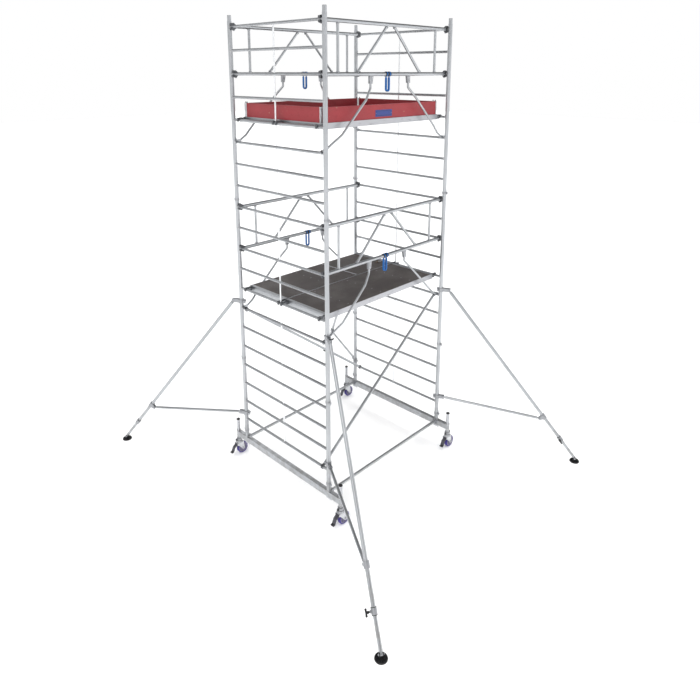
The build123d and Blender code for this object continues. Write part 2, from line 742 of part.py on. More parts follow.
def hatch_lid(end, rung_z, hatch_side):
    """Plywood lid with two hinge leaves, narrow enough to open beside a toe board."""
    hinge, free = hatch_edges(hatch_side)
    deck_top = rung_z + deck_above
    near = end * (deck_seam / 2 + deck_lip + 1)
    far = end * hatch_outer_y
    with BuildPart() as lid:
        block((hinge - hatch_side * 1.5, near, deck_top - ply_thick + seat),
              (free + hatch_side * 1.5, far, deck_top))
        for y in hinge_places(end):
            z = deck_top + knuckle_r + 1
            high = y + knuckle_length + 1
            block((hinge - hatch_side * 40, y + 1, deck_top), (hinge - hatch_side * 4, high,
                                                               deck_top + 3))
            block((hinge - hatch_side * 7, y + 1, deck_top), (hinge, high, z))
            tube((hinge, y + 1, z), (hinge, high, z), knuckle_r)
            tube((hinge, y, z), (hinge, high + 1, z), knuckle_pin_r + running, mode=Mode.SUBTRACT)
        grip_x = free + hatch_side * 60
        middle = (near + far) / 2
        block((grip_x - 25, middle - 55, deck_top), (grip_x + 25, middle + 55, deck_top + 3))
        with Locations((grip_x, middle, deck_top)):
            Box(24, 80, 5.0, align=(Align.CENTER, Align.CENTER, Align.MAX), mode=Mode.SUBTRACT)
    return lid.part


def deck_panels(rung_z, hatch_side):
    """The fixed plywood of both decks of a level; the rear deck's goes round three sides of its hatch."""
    high = rung_z + deck_above
    low = high - ply_thick
    reach = deck_half_length - rail_width - ply_gap
    hinge, free = hatch_edges(hatch_side)
    with BuildPart() as panels:
        for end in (-1, 1):
            near = end * (deck_seam / 2 + deck_lip + ply_gap)
            far = end * (deck_outer_y - deck_lip - ply_gap)
            if end < 0:
                block((-reach, near, low), (reach, far, high))
            else:
                block((hatch_side * reach, near, low), (hinge, far, high))
                block((-hatch_side * reach, near, low), (free, far, high))
                block((hinge - hatch_side * weld_root, end * (hatch_outer_y + 1), low),
                      (free + hatch_side * weld_root, far, high))
    return panels.part


def platform_hooks():
    """Cast hooks from every deck end onto its rung."""
    with BuildPart() as hooks:
        for rung_z in deck_rung_z.values():
            for side in (-1, 1):
                for y in hook_places():
                    platform_hook(side, y, rung_z)
    return hooks.part


def hook_places():
    """Hooks stand in line with the decks' side rails."""
    near = deck_seam / 2 + rail_width / 2
    far = deck_outer_y - rail_width / 2
    return (-far, -near, near, far)


def platform_hook(side, y, rung_z):
    """One hook: a shank from the deck's end and a claw over the rung."""
    plane = Plane(origin=(0, y, 0), x_dir=(1, 0, 0), z_dir=(0, -1, 0))
    root = side * (deck_half_length + weld_root)
    nose = side * (post_x + rung_r + 9)
    top = rung_z + rung_r + 11
    plate([(root, rung_z - 20), (root, rung_z + 24), (side * (post_x - 24), top), (nose, top),
           (nose, rung_z - 16), (side * (post_x - rung_r - 14), rung_z - 22)], plane, hook_thick)
    tube((side * post_x, y - hook_thick, rung_z), (side * post_x, y + hook_thick, rung_z),
         rung_r + weld_root, mode=Mode.SUBTRACT)
    block((side * (post_x - rung_r - weld_root), y - hook_thick, rung_z),
          (side * (post_x + rung_r + weld_root), y + hook_thick, rung_z - 40), mode=Mode.SUBTRACT)


# ---- toe boards --------------------------------------------------------------------------
def toe_boards():
    """Four boards round the upper platform with a cast bracket at every end."""
    low = deck_rung_z["upper"] + deck_above + weld_root
    high = low + toe_height
    face_y = deck_outer_y - toe_inset
    face_x = deck_half_length - toe_inset + 4
    long_half = face_x - toe_thick - 6
    short_half = face_y - toe_thick - 34
    with BuildPart() as boards:
        for end in (-1, 1):
            y = end * face_y
            block((-long_half, y, low), (long_half, y - end * toe_thick, high))
            for side in (-1, 1):
                cap = side * (long_half + weld_root)
                block((cap, y + end * 3, low), (cap + side * toe_cap, y - end * (toe_thick + 3),
                                                high + 3))
        for side in (-1, 1):
            x = side * face_x
            block((x, -short_half, low), (x - side * toe_thick, short_half, high))
            for end in (-1, 1):
                cap = end * (short_half + weld_root)
                block((x + side * 3, cap, low), (x - side * (toe_thick + 3), cap + end * toe_cap,
                                                 high + 3))
        label_x, label_z = label_centre
        with Locations((label_x, -face_y - weld_root - label_size[1] / 2, low + label_z)):
            Box(*label_size)
    return boards.part


# ---- guard rails -------------------------------------------------------------------------
def guard_rail(end, rung_z):
    """Rails, uprights, diagonals, brackets, claws and hooked legs of one advance guard rail."""
    y = end * guard_y
    knee = rung_z + knee_above_deck
    top = rung_z + top_above_deck
    flat = Plane(origin=(0, y, 0), x_dir=(1, 0, 0), z_dir=(0, -1, 0))
    with BuildPart() as guard:
        for side in (-1, 1):
            tube((side * upright_x, y, knee), (side * upright_x, y, top), stay_r, stay_r - thin_wall)
            tube((side * diagonal_low_x, y, knee), (side * diagonal_high_x, y, top), stay_r,
                 stay_r - thin_wall)
        for side in (-1, 1):
            x = side * bracket_x
            half = bracket_width / 2
            plate([(x - half, knee), (x + half, knee),
                   (x + half * 0.7 + side * 8, knee - bracket_drop),
                   (x - half * 0.7 + side * 8, knee - bracket_drop)], flat, 24)
        for z in (knee, top):
            tube((-guard_end, y, z), (guard_end, y, z), guard_r + weld_root, mode=Mode.SUBTRACT)
        for z in (knee, top):
            tube((-guard_end, y, z), (guard_end, y, z), guard_r, guard_r - guard_wall)
            for side in (-1, 1):
                rail_claw(side, y, z, flat)
        for side in (-1, 1):
            guard_leg(side, end, rung_z)
    return guard.part


def rail_claw(side, y, z, flat):
    """Cast claw at a rail's end that grips the rung beside the post."""
    root = side * (guard_end + weld_root)
    nose = side * (post_x + rung_r + 8)
    plate([(root, z - guard_r), (root, z + guard_r), (side * (post_x - 12), z + claw_half),
           (nose, z + claw_half - 10), (nose, z - claw_half + 12), (side * (post_x - 16),
                                                                  z - claw_half)],
          flat, claw_thick)
    tube((side * post_x, y - claw_thick, z), (side * post_x, y + claw_thick, z),
         rung_r + weld_root, mode=Mode.SUBTRACT)
    block((side * post_x, y - claw_thick, z - 9), (nose + side * 2, y + claw_thick, z + 9),
          mode=Mode.SUBTRACT)


def guard_leg(side, end, rung_z):
    """Bent leg from its bracket, out round the deck's edge, to the rung below the deck."""
    y = end * guard_y
    out = end * (guard_y + leg_swing)
    knee = rung_z + knee_above_deck
    hook_z = rung_z - leg_below_deck
    start_z = knee - bracket_drop - weld_root
    points = [(side * (bracket_x + 8), y, start_z),
              (side * (bracket_x + 8), y, start_z - 46),
              (side * (bracket_x + 110), out, start_z - 160),
              (side * (leg_end_x - 200), out, hook_z + 165),
              (side * (leg_end_x - 80), y, hook_z + 72),
              (side * leg_end_x, y, hook_z + 20)]
    with BuildLine() as path:
        FilletPolyline(*points, radius=30)
    with BuildSketch(Plane(origin=points[0], z_dir=Vector(points[1]) - Vector(points[0]))) as ring:
        Circle(leg_r)
    sweep(ring.sketch, path=path.wire())
    claw = Plane(origin=(0, y, 0), x_dir=(1, 0, 0), z_dir=(0, -1, 0))
    plate([(side * (leg_end_x - 4), hook_z + 6), (side * (leg_end_x + 6), hook_z + 34),
           (side * (post_x + 6), hook_z + 30), (side * (post_x + 26), hook_z + 10),
           (side * (post_x + 24), hook_z - 10), (side * (post_x - 20), hook_z - 4)], claw, 22)
    tube((side * post_x, y - 20, hook_z), (side * post_x, y + 20, hook_z), rung_r + weld_root,
         mode=Mode.SUBTRACT)


def release_loop(end, rung_z):
    """Pull loop that hangs from two rings round the knee rail."""
    y = end * guard_y
    x = end * loop_offset
    z = rung_z + knee_above_deck
    low = z - loop_drop
    half = loop_width / 2
    ring_in = guard_r + slip
    with BuildPart() as loop:
        for side in (-1, 1):
            sx = x + side * half
            tube((sx - loop_r, y, z), (sx + loop_r, y, z), ring_in + loop_ring)
            tube((sx, y, z), (sx, y, low + half), loop_r)
        with BuildLine(Plane(origin=(x, y, low + half), x_dir=(1, 0, 0), z_dir=(0, -1, 0))) as bend:
            CenterArc((0, 0), half, 180, 180)
        with BuildSketch(Plane(origin=(x - half, y, low + half), z_dir=(0, 0, -1))) as section:
            Circle(loop_r)
        sweep(section.sketch, path=bend.wire())
        tube((x - loop_width, y, z), (x + loop_width, y, z), ring_in, mode=Mode.SUBTRACT)
    return loop.part


# ---- braces ------------------------------------------------------------------------------
def braces():
    """Two diagonal braces, one along each long side, with a claw on a rung at both ends."""
    low_z = first_rung_z
    high_z = deck_rung_z["lower"] - leg_below_deck
    with BuildPart() as pair:
        for end in (-1, 1):
            y = end * (post_y - brace_inset)
            along = Vector(-end * bay_length, 0, high_z - low_z).normalized()
            step = along * brace_root
            low = Vector(end * post_x, y, low_z)
            high = Vector(-end * post_x, y, high_z)
            tube((low + step), (high - step), brace_r, brace_r - thin_wall)
            brace_claw(low, end, along)
            brace_claw(high, -end, -along)
    return pair.part


def brace_claw(centre, outward, along):
    """Claw round a rung at a brace's end, open away from the bay."""
    x, y, z = centre
    grip = rung_r + weld_root
    tube((x, y - 13, z), (x, y + 13, z), grip + 9)
    tube(centre, centre + along * (brace_root - weld_root), brace_r)
    tube((x, y - 30, z), (x, y + 30, z), grip, mode=Mode.SUBTRACT)
    block((x, y - 30, z - 8), (x + outward * 40, y + 30, z + 8), mode=Mode.SUBTRACT)


# ---- writing every node ------------------------------------------------------------------
for side_name, side in sides.items():
    save(ladder_frame(side, frame_base_z, frame_tops[0], low_frame_rungs), f"frame_low_{side_name}")
    save(ladder_frame(side, frame_tops[0], frame_tops[1], tall_frame_rungs), f"frame_mid_{side_name}")
    save(ladder_frame(side, frame_tops[1], frame_tops[2], tall_frame_rungs), f"frame_top_{side_name}")
    save(chassis_beam(side), f"chassis_beam_{side_name}")

castor_pieces = {"castor_stem": castor_stem(), "castor_fork": castor_fork(),
                 "castor_wheel": castor_wheel(), "brake_pedal": brake_pedal()}
outrigger_pieces = {"outrigger_arm": outrigger_arm(), "outrigger_leg": outrigger_leg(),
                    "outrigger_foot": outrigger_foot(), "clamp_screw": clamp_screw()}
for corner, (side, end) in corners.items():
    for piece_name, piece in castor_pieces.items():
        save(piece.moved(Location((side * post_x, end * castor_y, 0))), f"{piece_name}_{corner}")
    for piece_name, piece in outrigger_pieces.items():
        save(piece.moved(outrigger_place(side, end)), f"{piece_name}_{corner}")

hatch_sides = {"lower": 1, "upper": -1}
for level, rung_z in deck_rung_z.items():
    for end_name, end in ends.items():
        hatch_side = hatch_sides[level] if end > 0 else 0
        save(platform_frame(end, rung_z, hatch_side), f"platform_frame_{level}_{end_name}")
        save(guard_rail(end, rung_z), f"guard_rail_{level}_{end_name}")
        save(release_loop(end, rung_z), f"release_loop_{level}_{end_name}")
    save(deck_panels(rung_z, hatch_sides[level]), f"deck_panels_{level}")
    save(hatch_lid(1, rung_z, hatch_sides[level]), f"hatch_lid_{level}")

save(platform_hooks(), "platform_hooks")
save(toe_boards(), "toe_boards")
save(base_rails(), "base_rails")
save(braces(), "diagonal_braces")
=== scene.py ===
"""Looks of an aluminium rolling tower: finishes for every tube and board, and its small fittings."""
import json
from functools import partialmethod
from math import atan2, cos, pi, radians, sin, sqrt

import bmesh
import bpy
import numpy as np
from bpy.props import FloatProperty, FloatVectorProperty, PointerProperty
from mathutils import Matrix, Vector


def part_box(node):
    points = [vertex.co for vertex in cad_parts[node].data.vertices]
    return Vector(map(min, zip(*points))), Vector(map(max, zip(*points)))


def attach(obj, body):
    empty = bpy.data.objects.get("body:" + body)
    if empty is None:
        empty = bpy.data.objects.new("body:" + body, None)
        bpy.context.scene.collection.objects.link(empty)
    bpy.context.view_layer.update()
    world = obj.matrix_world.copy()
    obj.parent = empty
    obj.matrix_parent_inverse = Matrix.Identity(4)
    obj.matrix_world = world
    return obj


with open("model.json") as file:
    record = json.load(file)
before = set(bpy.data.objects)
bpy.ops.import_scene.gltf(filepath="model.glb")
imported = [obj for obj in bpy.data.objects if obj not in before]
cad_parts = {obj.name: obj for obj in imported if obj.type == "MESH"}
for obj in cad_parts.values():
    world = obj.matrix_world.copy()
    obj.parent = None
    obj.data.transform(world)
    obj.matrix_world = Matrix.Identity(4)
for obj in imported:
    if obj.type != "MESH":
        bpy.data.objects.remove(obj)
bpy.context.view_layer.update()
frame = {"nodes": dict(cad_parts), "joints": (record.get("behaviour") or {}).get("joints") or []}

bl_info = {
    "name": "Rolling tower looks",
    "version": (1, 0, 0),
    "blender": (4, 5, 0),
    "location": "View3D > Sidebar > Tower",
    "description": "Finishes and small fittings of a rolling scaffold tower",
    "category": "Object",
}

CORNERS = ("front_left", "front_right", "rear_right", "rear_left")
LEVELS = ("lower", "upper")
SIDES = ("front", "rear")
BOTH = (-1, 1)
TOWER = "tower"
X, Y, Z = (1, 0, 0), (0, 1, 0), (0, 0, 1)

BUMP_STRENGTH = 0.6
WELD_RIPPLE = 0.14
WELD_SIDES = 7
SHARP_EDGE = radians(38)
LONG_RAIL = 1.6


# ---- the solids of a CAD node ------------------------------------------------------------
class Solid:
    """One closed solid of a node: its corners, its size and its polygons."""

    def __init__(self, points, faces):
        self.low = Vector(points.min(axis=0))
        self.high = Vector(points.max(axis=0))
        self.size = self.high - self.low
        self.middle = (self.high + self.low) / 2
        self.faces = faces


def solids(node):
    """The separate solids of a node, found from the polygons that share corners."""
    mesh = frame["nodes"][node].data
    points = np.empty(len(mesh.vertices) * 3)
    mesh.vertices.foreach_get("co", points)
    points = points.reshape(-1, 3)
    corners = np.empty(len(mesh.loops), int)
    mesh.loops.foreach_get("vertex_index", corners)
    corners = corners.reshape(-1, 3)
    welded = np.unique(points.round(5), axis=0, return_inverse=True)[1].ravel()[corners]
    label = np.arange(welded.max() + 1)
    while True:
        least = label[welded].min(axis=1)
        if (label[welded] == least[:, None]).all():
            break
        np.minimum.at(label, welded.ravel(), np.repeat(least, 3))
        label = label[label]
    group = label[welded[:, 0]]
    return [Solid(points[corners[group == g].ravel()], np.flatnonzero(group == g))
            for g in np.unique(group)]


def joint(name, row):
    """A joint's place, pos_m, or its direction, axis."""
    return Vector(next(j[row] for j in frame["joints"] if j["name"] == name))


def sign(value):
    return 1 if value > 0 else -1


def circle(steps):
    """Cosines and sines of evenly spaced angles."""
    return [(cos(2 * pi * k / steps), sin(2 * pi * k / steps)) for k in range(steps)]


# ---- shader maths ------------------------------------------------------------------------
class Wire:
    """A socket that can be used in an expression, as a number or a vector."""

    def __init__(self, recipe, socket):
        self.recipe = recipe
        self.socket = socket

    def combine(self, operation, other=None, swapped=False):
        sockets = [self] if other is None else [self, other]
        if swapped:
            sockets.reverse()
        vector = any(isinstance(s, tuple) or (isinstance(s, Wire) and s.socket.type == "VECTOR")
                     for s in sockets)
        kind = "ShaderNodeVectorMath" if vector else "ShaderNodeMath"
        return self.recipe.node(kind, {"operation": operation}, dict(enumerate(sockets)))

    __add__ = partialmethod(combine, "ADD")
    __radd__ = partialmethod(combine, "ADD", swapped=True)
    __sub__ = partialmethod(combine, "SUBTRACT")
    __rsub__ = partialmethod(combine, "SUBTRACT", swapped=True)
    __mul__ = partialmethod(combine, "MULTIPLY")
    __rmul__ = partialmethod(combine, "MULTIPLY", swapped=True)
    __truediv__ = partialmethod(combine, "DIVIDE")
    __rtruediv__ = partialmethod(combine, "DIVIDE", swapped=True)
    __abs__ = partialmethod(combine, "ABSOLUTE")
    sine = partialmethod(combine, "SINE")
    fract = partialmethod(combine, "FRACT")
    most = partialmethod(combine, "MAXIMUM")

    def axis(self, name):
        """One coordinate of a vector."""
        return self.recipe.node("ShaderNodeSeparateXYZ", {}, {0: self}, out=name.upper())

    def ramp(self, low, high):
        """0 below low, 1 above high, and smooth between them."""
        return self.recipe.node("ShaderNodeMapRange", {"interpolation_type": "SMOOTHSTEP"},
                                {"Value": self, "From Min": low, "From Max": high})


class Recipe:
    """The node tree of one finish."""

    def __init__(self, name):
        self.material = bpy.data.materials.new(name)
        self.material.use_nodes = True
        self.tree = self.material.node_tree
        self.tree.nodes.clear()
        self.shader = self.tree.nodes.new("ShaderNodeBsdfPrincipled")
        output = self.tree.nodes.new("ShaderNodeOutputMaterial")
        self.tree.links.new(self.shader.outputs[0], output.inputs[0])
        self.place = self.node("ShaderNodeTexCoord", {}, {}, out="Object")
        self.normal = self.node("ShaderNodeTexCoord", {}, {}, out="Normal")

    def node(self, kind, settings, sockets, out=0):
        """Any node: its settings first, then the values or links of its sockets."""
        made = self.tree.nodes.new(kind)
        for name, value in settings.items():
            setattr(made, name, value)
        for name, value in sockets.items():
            self.join(made.inputs[name], value)
        return Wire(self, made.outputs[out])

    def join(self, socket, value):
        if isinstance(value, Wire):
            self.tree.links.new(value.socket, socket)
        elif socket.type in ("VECTOR", "RGBA") and isinstance(value, (int, float)):
            socket.default_value = [value] * len(socket.default_value)
        elif socket.type == "RGBA":
            socket.default_value = (*value[:3], 1.0)
        else:
            socket.default_value = value

    def noise(self, scale, detail=3.0, vector=None):
        return self.node("ShaderNodeTexNoise", {},
                         {"Vector": vector or self.place, "Scale": scale, "Detail": detail})

    def cells(self, scale, out="Distance"):
        return self.node("ShaderNodeTexVoronoi", {}, {"Vector": self.place, "Scale": scale}, out=out)

    def stretched(self, along, share):
        """The place, with its coordinate along a direction shrunk to a share of itself."""
        along = tuple(Vector(along).normalized())
        reach = self.node("ShaderNodeVectorMath", {"operation": "DOT_PRODUCT"},
                          {0: self.place, 1: along}, out="Value")
        run = self.node("ShaderNodeVectorMath", {"operation": "SCALE"},
                        {0: along, "Scale": reach * (1 - share)})
        return self.place - run

    def mix(self, mask, first, second):
        """The first colour where the mask is 0, the second where it is 1."""
        return self.node("ShaderNodeMix", {"data_type": "RGBA"}, {0: mask, 6: first, 7: second}, out=2)

    def finish(self, base, rough, height, depth, metallic=0.0):
        """Set the shader's sockets, and its bump from a height."""
        bump = self.node("ShaderNodeBump", {},
                         {"Strength": BUMP_STRENGTH, "Distance": depth, "Height": height})
        for name, value in (("Base Color", base), ("Roughness", rough), ("Metallic", metallic),
                            ("Normal", bump)):
            self.join(self.shader.inputs[name], value)
        return self.material


def shade(colour, factor):
    """A colour made lighter or darker."""
    return tuple(min(1.0, channel * factor) for channel in colour[:3])


# ---- finishes ----------------------------------------------------------------------------
finishes = {}


def finish(maker, *details):
    """A finish by its maker and details, made once and kept."""
    key = (maker.__name__, *details)
    if key not in finishes:
        finishes[key] = maker(*details)
    return finishes[key]


def colours():
    return bpy.context.scene.tower_colours


def drawn_tube(along):
    """Mill-finish aluminium tube: drawing lines along it, handling marks and dull patches."""
    recipe = Recipe("drawn_tube_" + "_".join(str(round(100 * a)).replace("-", "m") for a in along))
    tint = colours().aluminium
    lines = recipe.noise(900.0, 2.0, recipe.stretched(along, 0.01))
    patches = recipe.noise(7.0, 4.0, recipe.stretched(along, 0.35))
    marks = recipe.noise(160.0, 2.0, recipe.stretched(along, 0.25)).ramp(0.66, 0.72)
    grime = (1 - recipe.place.axis("z").ramp(0.0, 0.9)) * recipe.noise(22.0, 5.0).ramp(0.42, 0.62)
    base = recipe.mix(patches.ramp(0.35, 0.7), shade(tint, 0.86), tint)
    base = recipe.mix(marks * 0.5, base, shade(tint, 0.62))
    base = recipe.mix(grime * 0.35, base, (0.24, 0.22, 0.19))
    rough = 0.27 + patches * 0.16 + marks * 0.12 + grime * 0.2
    return recipe.finish(base, rough, lines * 0.6 + marks * -0.8, 0.00012, 1.0 - grime * 0.3)


def ribbed_rung():
    """Rung tube with fine ribs all round for grip and painted shade darkening the grooves between them,
    polished where feet and hands go.
    """
    recipe = Recipe("ribbed_rung")
    tint = colours().aluminium
    angle = recipe.node("ShaderNodeMath", {"operation": "ARCTAN2"},
                        {0: recipe.normal.axis("z"), 1: recipe.normal.axis("x")})
    ribs = (angle * 26.0).sine()
    worn = recipe.noise(3.0, 2.0).ramp(0.4, 0.65)
    grit = recipe.noise(60.0, 5.0).ramp(0.55, 0.75)
    # painted shade: the grooves between the ribs are darkened to 55 % of the tube's colour
    base = recipe.mix(ribs.ramp(-0.9, -0.2), shade(tint, 0.55), tint)
    base = recipe.mix(worn * 0.35, base, shade(tint, 1.08))
    base = recipe.mix(grit * 0.3, base, (0.3, 0.28, 0.25))
    return recipe.finish(base, 0.4 - worn * 0.12 + grit * 0.2, ribs, 0.0006, 1.0)


def pale_bar():
    """Anodised thin bar, paler than the tubes round it."""
    recipe = Recipe("pale_bar")
    veil = recipe.noise(18.0, 3.0)
    base = recipe.mix(veil, (0.80, 0.82, 0.84), (0.93, 0.94, 0.95))
    lines = recipe.noise(700.0, 2.0, recipe.stretched(Z, 0.02))
    return recipe.finish(base, 0.36 + veil * 0.12, lines, 0.0001, 0.75)


def deck_rail():
    """Anodised extruded rail of a deck, a little lilac, with scuffs."""
    recipe = Recipe("deck_rail")
    tint = colours().deck_rail
    lines = recipe.noise(500.0, 2.0, recipe.stretched(X, 0.01))
    scuffs = recipe.noise(45.0, 5.0, recipe.stretched(X, 0.3)).ramp(0.58, 0.7)
    veil = recipe.noise(5.0, 3.0)
    base = recipe.mix(veil, shade(tint, 0.92), shade(tint, 1.05))
    base = recipe.mix(scuffs * 0.45, base, shade(tint, 0.6))
    return recipe.finish(base, 0.34 + scuffs * 0.2, lines * 0.5 - scuffs, 0.00015, 0.85)


def cast_metal(tint, name):
    """Sand-cast light metal with a grainy skin and darker pits."""
    recipe = Recipe("cast_" + name)
    grain = recipe.noise(420.0, 4.0)
    pits = recipe.cells(260.0).ramp(0.05, 0.22)
    base = recipe.mix(recipe.noise(30.0, 4.0), shade(tint, 0.8), shade(tint, 1.1))
    base = recipe.mix((1 - pits) * 0.5, base, shade(tint, 0.45))
    return recipe.finish(base, 0.42 + grain * 0.25, grain * 0.6 + pits * 0.4, 0.0004, 0.9)


def zinc_plate():
    """Zinc-plated steel with a faint spangle and rust in a few spots."""
    recipe = Recipe("zinc_plate")
    tint = colours().zinc
    spangle = recipe.node("ShaderNodeSeparateColor", {}, {0: recipe.cells(120.0, out="Color")})
    cloud = recipe.noise(40.0, 4.0)
    rust = recipe.noise(70.0, 6.0).ramp(0.68, 0.76)
    base = recipe.mix(spangle, shade(tint, 0.82), shade(tint, 1.12))
    base = recipe.mix(cloud * 0.3, base, shade(tint, 0.7))
    base = recipe.mix(rust * 0.55, base, (0.22, 0.10, 0.05))
    rough = 0.3 + spangle * 0.1 + rust * 0.3
    return recipe.finish(base, rough, cloud - rust * 0.5, 0.0002, 1.0 - rust * 0.7)


def weld_metal():
    """Bead of weld, bright metal with patches of brown heat tint."""
    recipe = Recipe("weld_metal")
    heat = recipe.noise(90.0, 4.0)
    base = recipe.mix(heat.ramp(0.45, 0.7), (0.70, 0.70, 0.70), (0.42, 0.39, 0.36))
    return recipe.finish(base, 0.34 + heat * 0.2, recipe.noise(500.0, 2.0), 0.0002, 1.0)


def moulded(tint, name, rough, grain_scale):
    """Moulded plastic with a fine sparked grain and small scratches."""
    recipe = Recipe("moulded_" + name)
    grain = recipe.noise(grain_scale, 3.0)
    scratches = recipe.noise(130.0, 2.0, recipe.stretched((1, 1, 0.4), 0.12)).ramp(0.68, 0.73)
    base = recipe.mix(recipe.noise(14.0, 3.0), shade(tint, 0.85), shade(tint, 1.12))
    base = recipe.mix(scratches * 0.3, base, shade(tint, 2.2))
    return recipe.finish(base, rough + grain * 0.14 + scratches * 0.1, grain - scratches, 0.0002)


def tyre():
    """Hard polyurethane tread, scuffed dull where it rolls, with grit in it."""
    recipe = Recipe("tyre")
    tint = colours().tyre
    scuff = recipe.noise(55.0, 6.0).ramp(0.4, 0.7)
    grit = recipe.cells(330.0).ramp(0.0, 0.14)
    base = recipe.mix(scuff * 0.5, tint, shade(tint, 1.7))
    base = recipe.mix((1 - grit) * 0.35, base, (0.2, 0.19, 0.18))
    return recipe.finish(base, 0.28 + scuff * 0.3, scuff * 0.4 + grit * 0.6, 0.0003)


def rubber():
    """Black rubber with a dusty bloom."""
    recipe = Recipe("rubber")
    dust = recipe.noise(60.0, 6.0).ramp(0.45, 0.72)
    base = recipe.mix(dust * 0.6, (0.012, 0.012, 0.013), (0.10, 0.095, 0.09))
    return recipe.finish(base, 0.62 + dust * 0.2, recipe.noise(700.0, 3.0), 0.0002)


def deck_board():
    """Film-faced plywood: a pressed mesh pattern, paths worn by feet, and birch plies at its edge."""
    recipe = Recipe("deck_board")
    tint = colours().deck_board
    mesh_waves = 2 * pi / 0.007
    ply_pitch = 0.0026
    weave = (recipe.place.axis("x") * mesh_waves).sine() * (recipe.place.axis("y") * mesh_waves).sine()
    grain = recipe.noise(26.0, 5.0, recipe.stretched(X, 0.12))
    trodden = recipe.noise(2.6, 3.0).ramp(0.42, 0.68)
    dust = recipe.noise(75.0, 6.0).ramp(0.52, 0.74)
    face = recipe.mix(grain, shade(tint, 0.78), shade(tint, 1.25))
    face = recipe.mix(trodden * 0.35, face, shade(tint, 1.75))
    face = recipe.mix(dust * 0.25, face, (0.23, 0.21, 0.19))
    plies = (recipe.place.axis("z") / ply_pitch).fract().ramp(0.4, 0.6)
    edge = recipe.mix(plies, (0.42, 0.27, 0.15), (0.22, 0.12, 0.06))
    flat = abs(recipe.normal.axis("z")).ramp(0.4, 0.6)
    base = recipe.mix(flat, edge, face)
    rough = 0.52 - trodden * 0.1 + dust * 0.2
    return recipe.finish(base, rough, weave * flat * 0.7 + grain * 0.3, 0.0005)


def red_board():
    """Red painted board with faint grain, knocks that show the wood, and scuffs."""
    recipe = Recipe("red_board")
    tint = colours().toe_board
    grain = recipe.noise(70.0, 4.0, recipe.stretched((1, 1, 0), 0.06))
    knocks = recipe.noise(38.0, 5.0).ramp(0.69, 0.74)
    smears = recipe.noise(24.0, 4.0, recipe.stretched((1, 1, 0), 0.3)).ramp(0.55, 0.75)
    base = recipe.mix(recipe.noise(4.0, 3.0), shade(tint, 0.82), shade(tint, 1.18))
    base = recipe.mix(smears * 0.3, base, shade(tint, 0.6))
    base = recipe.mix(knocks * 0.7, base, (0.50, 0.34, 0.22))
    return recipe.finish(base, 0.40 + grain * 0.16 + knocks * 0.2, grain * 0.7 - knocks, 0.0003)


def label_plate(middle_x, middle_z, half_x, half_z):
    """Plain blue enamelled plate, a little faded, with a darker line near its edge."""
    recipe = Recipe("label_plate")
    tint = colours().label
    across = abs(recipe.place.axis("x") - middle_x) / half_x
    up = abs(recipe.place.axis("z") - middle_z) / half_z
    inside = (1 - across.ramp(0.90, 0.915)) * (1 - up.ramp(0.72, 0.76))
    line = inside * across.ramp(0.86, 0.875).most(up.ramp(0.58, 0.62))
    faded = recipe.noise(26.0, 4.0)
    base = recipe.mix(faded, shade(tint, 0.85), shade(tint, 1.2))
    base = recipe.mix(line * 0.8, base, shade(tint, 0.35))
    return recipe.finish(base, 0.30 + faded * 0.08, line * -1.0, 0.0002)


def studio_floor():
    """Pale painted floor, almost even."""
    recipe = Recipe("studio_floor")
    base = recipe.mix(recipe.noise(0.6, 3.0), (0.90, 0.90, 0.90), (0.94, 0.94, 0.94))
    return recipe.finish(base, 0.75, recipe.noise(40.0, 2.0), 0.0002)


def steel():
    return finish(zinc_plate)


def black():
    return finish(moulded, tuple(colours().black_plastic), "black", 0.38, 520.0)


def grey_cast():
    return finish(cast_metal, tuple(colours().cast_grey), "grey")


def light_cast():
    return finish(cast_metal, tuple(colours().cast_light), "light")


def dark_cast():
    return finish(cast_metal, tuple(colours().claw_dark), "dark")


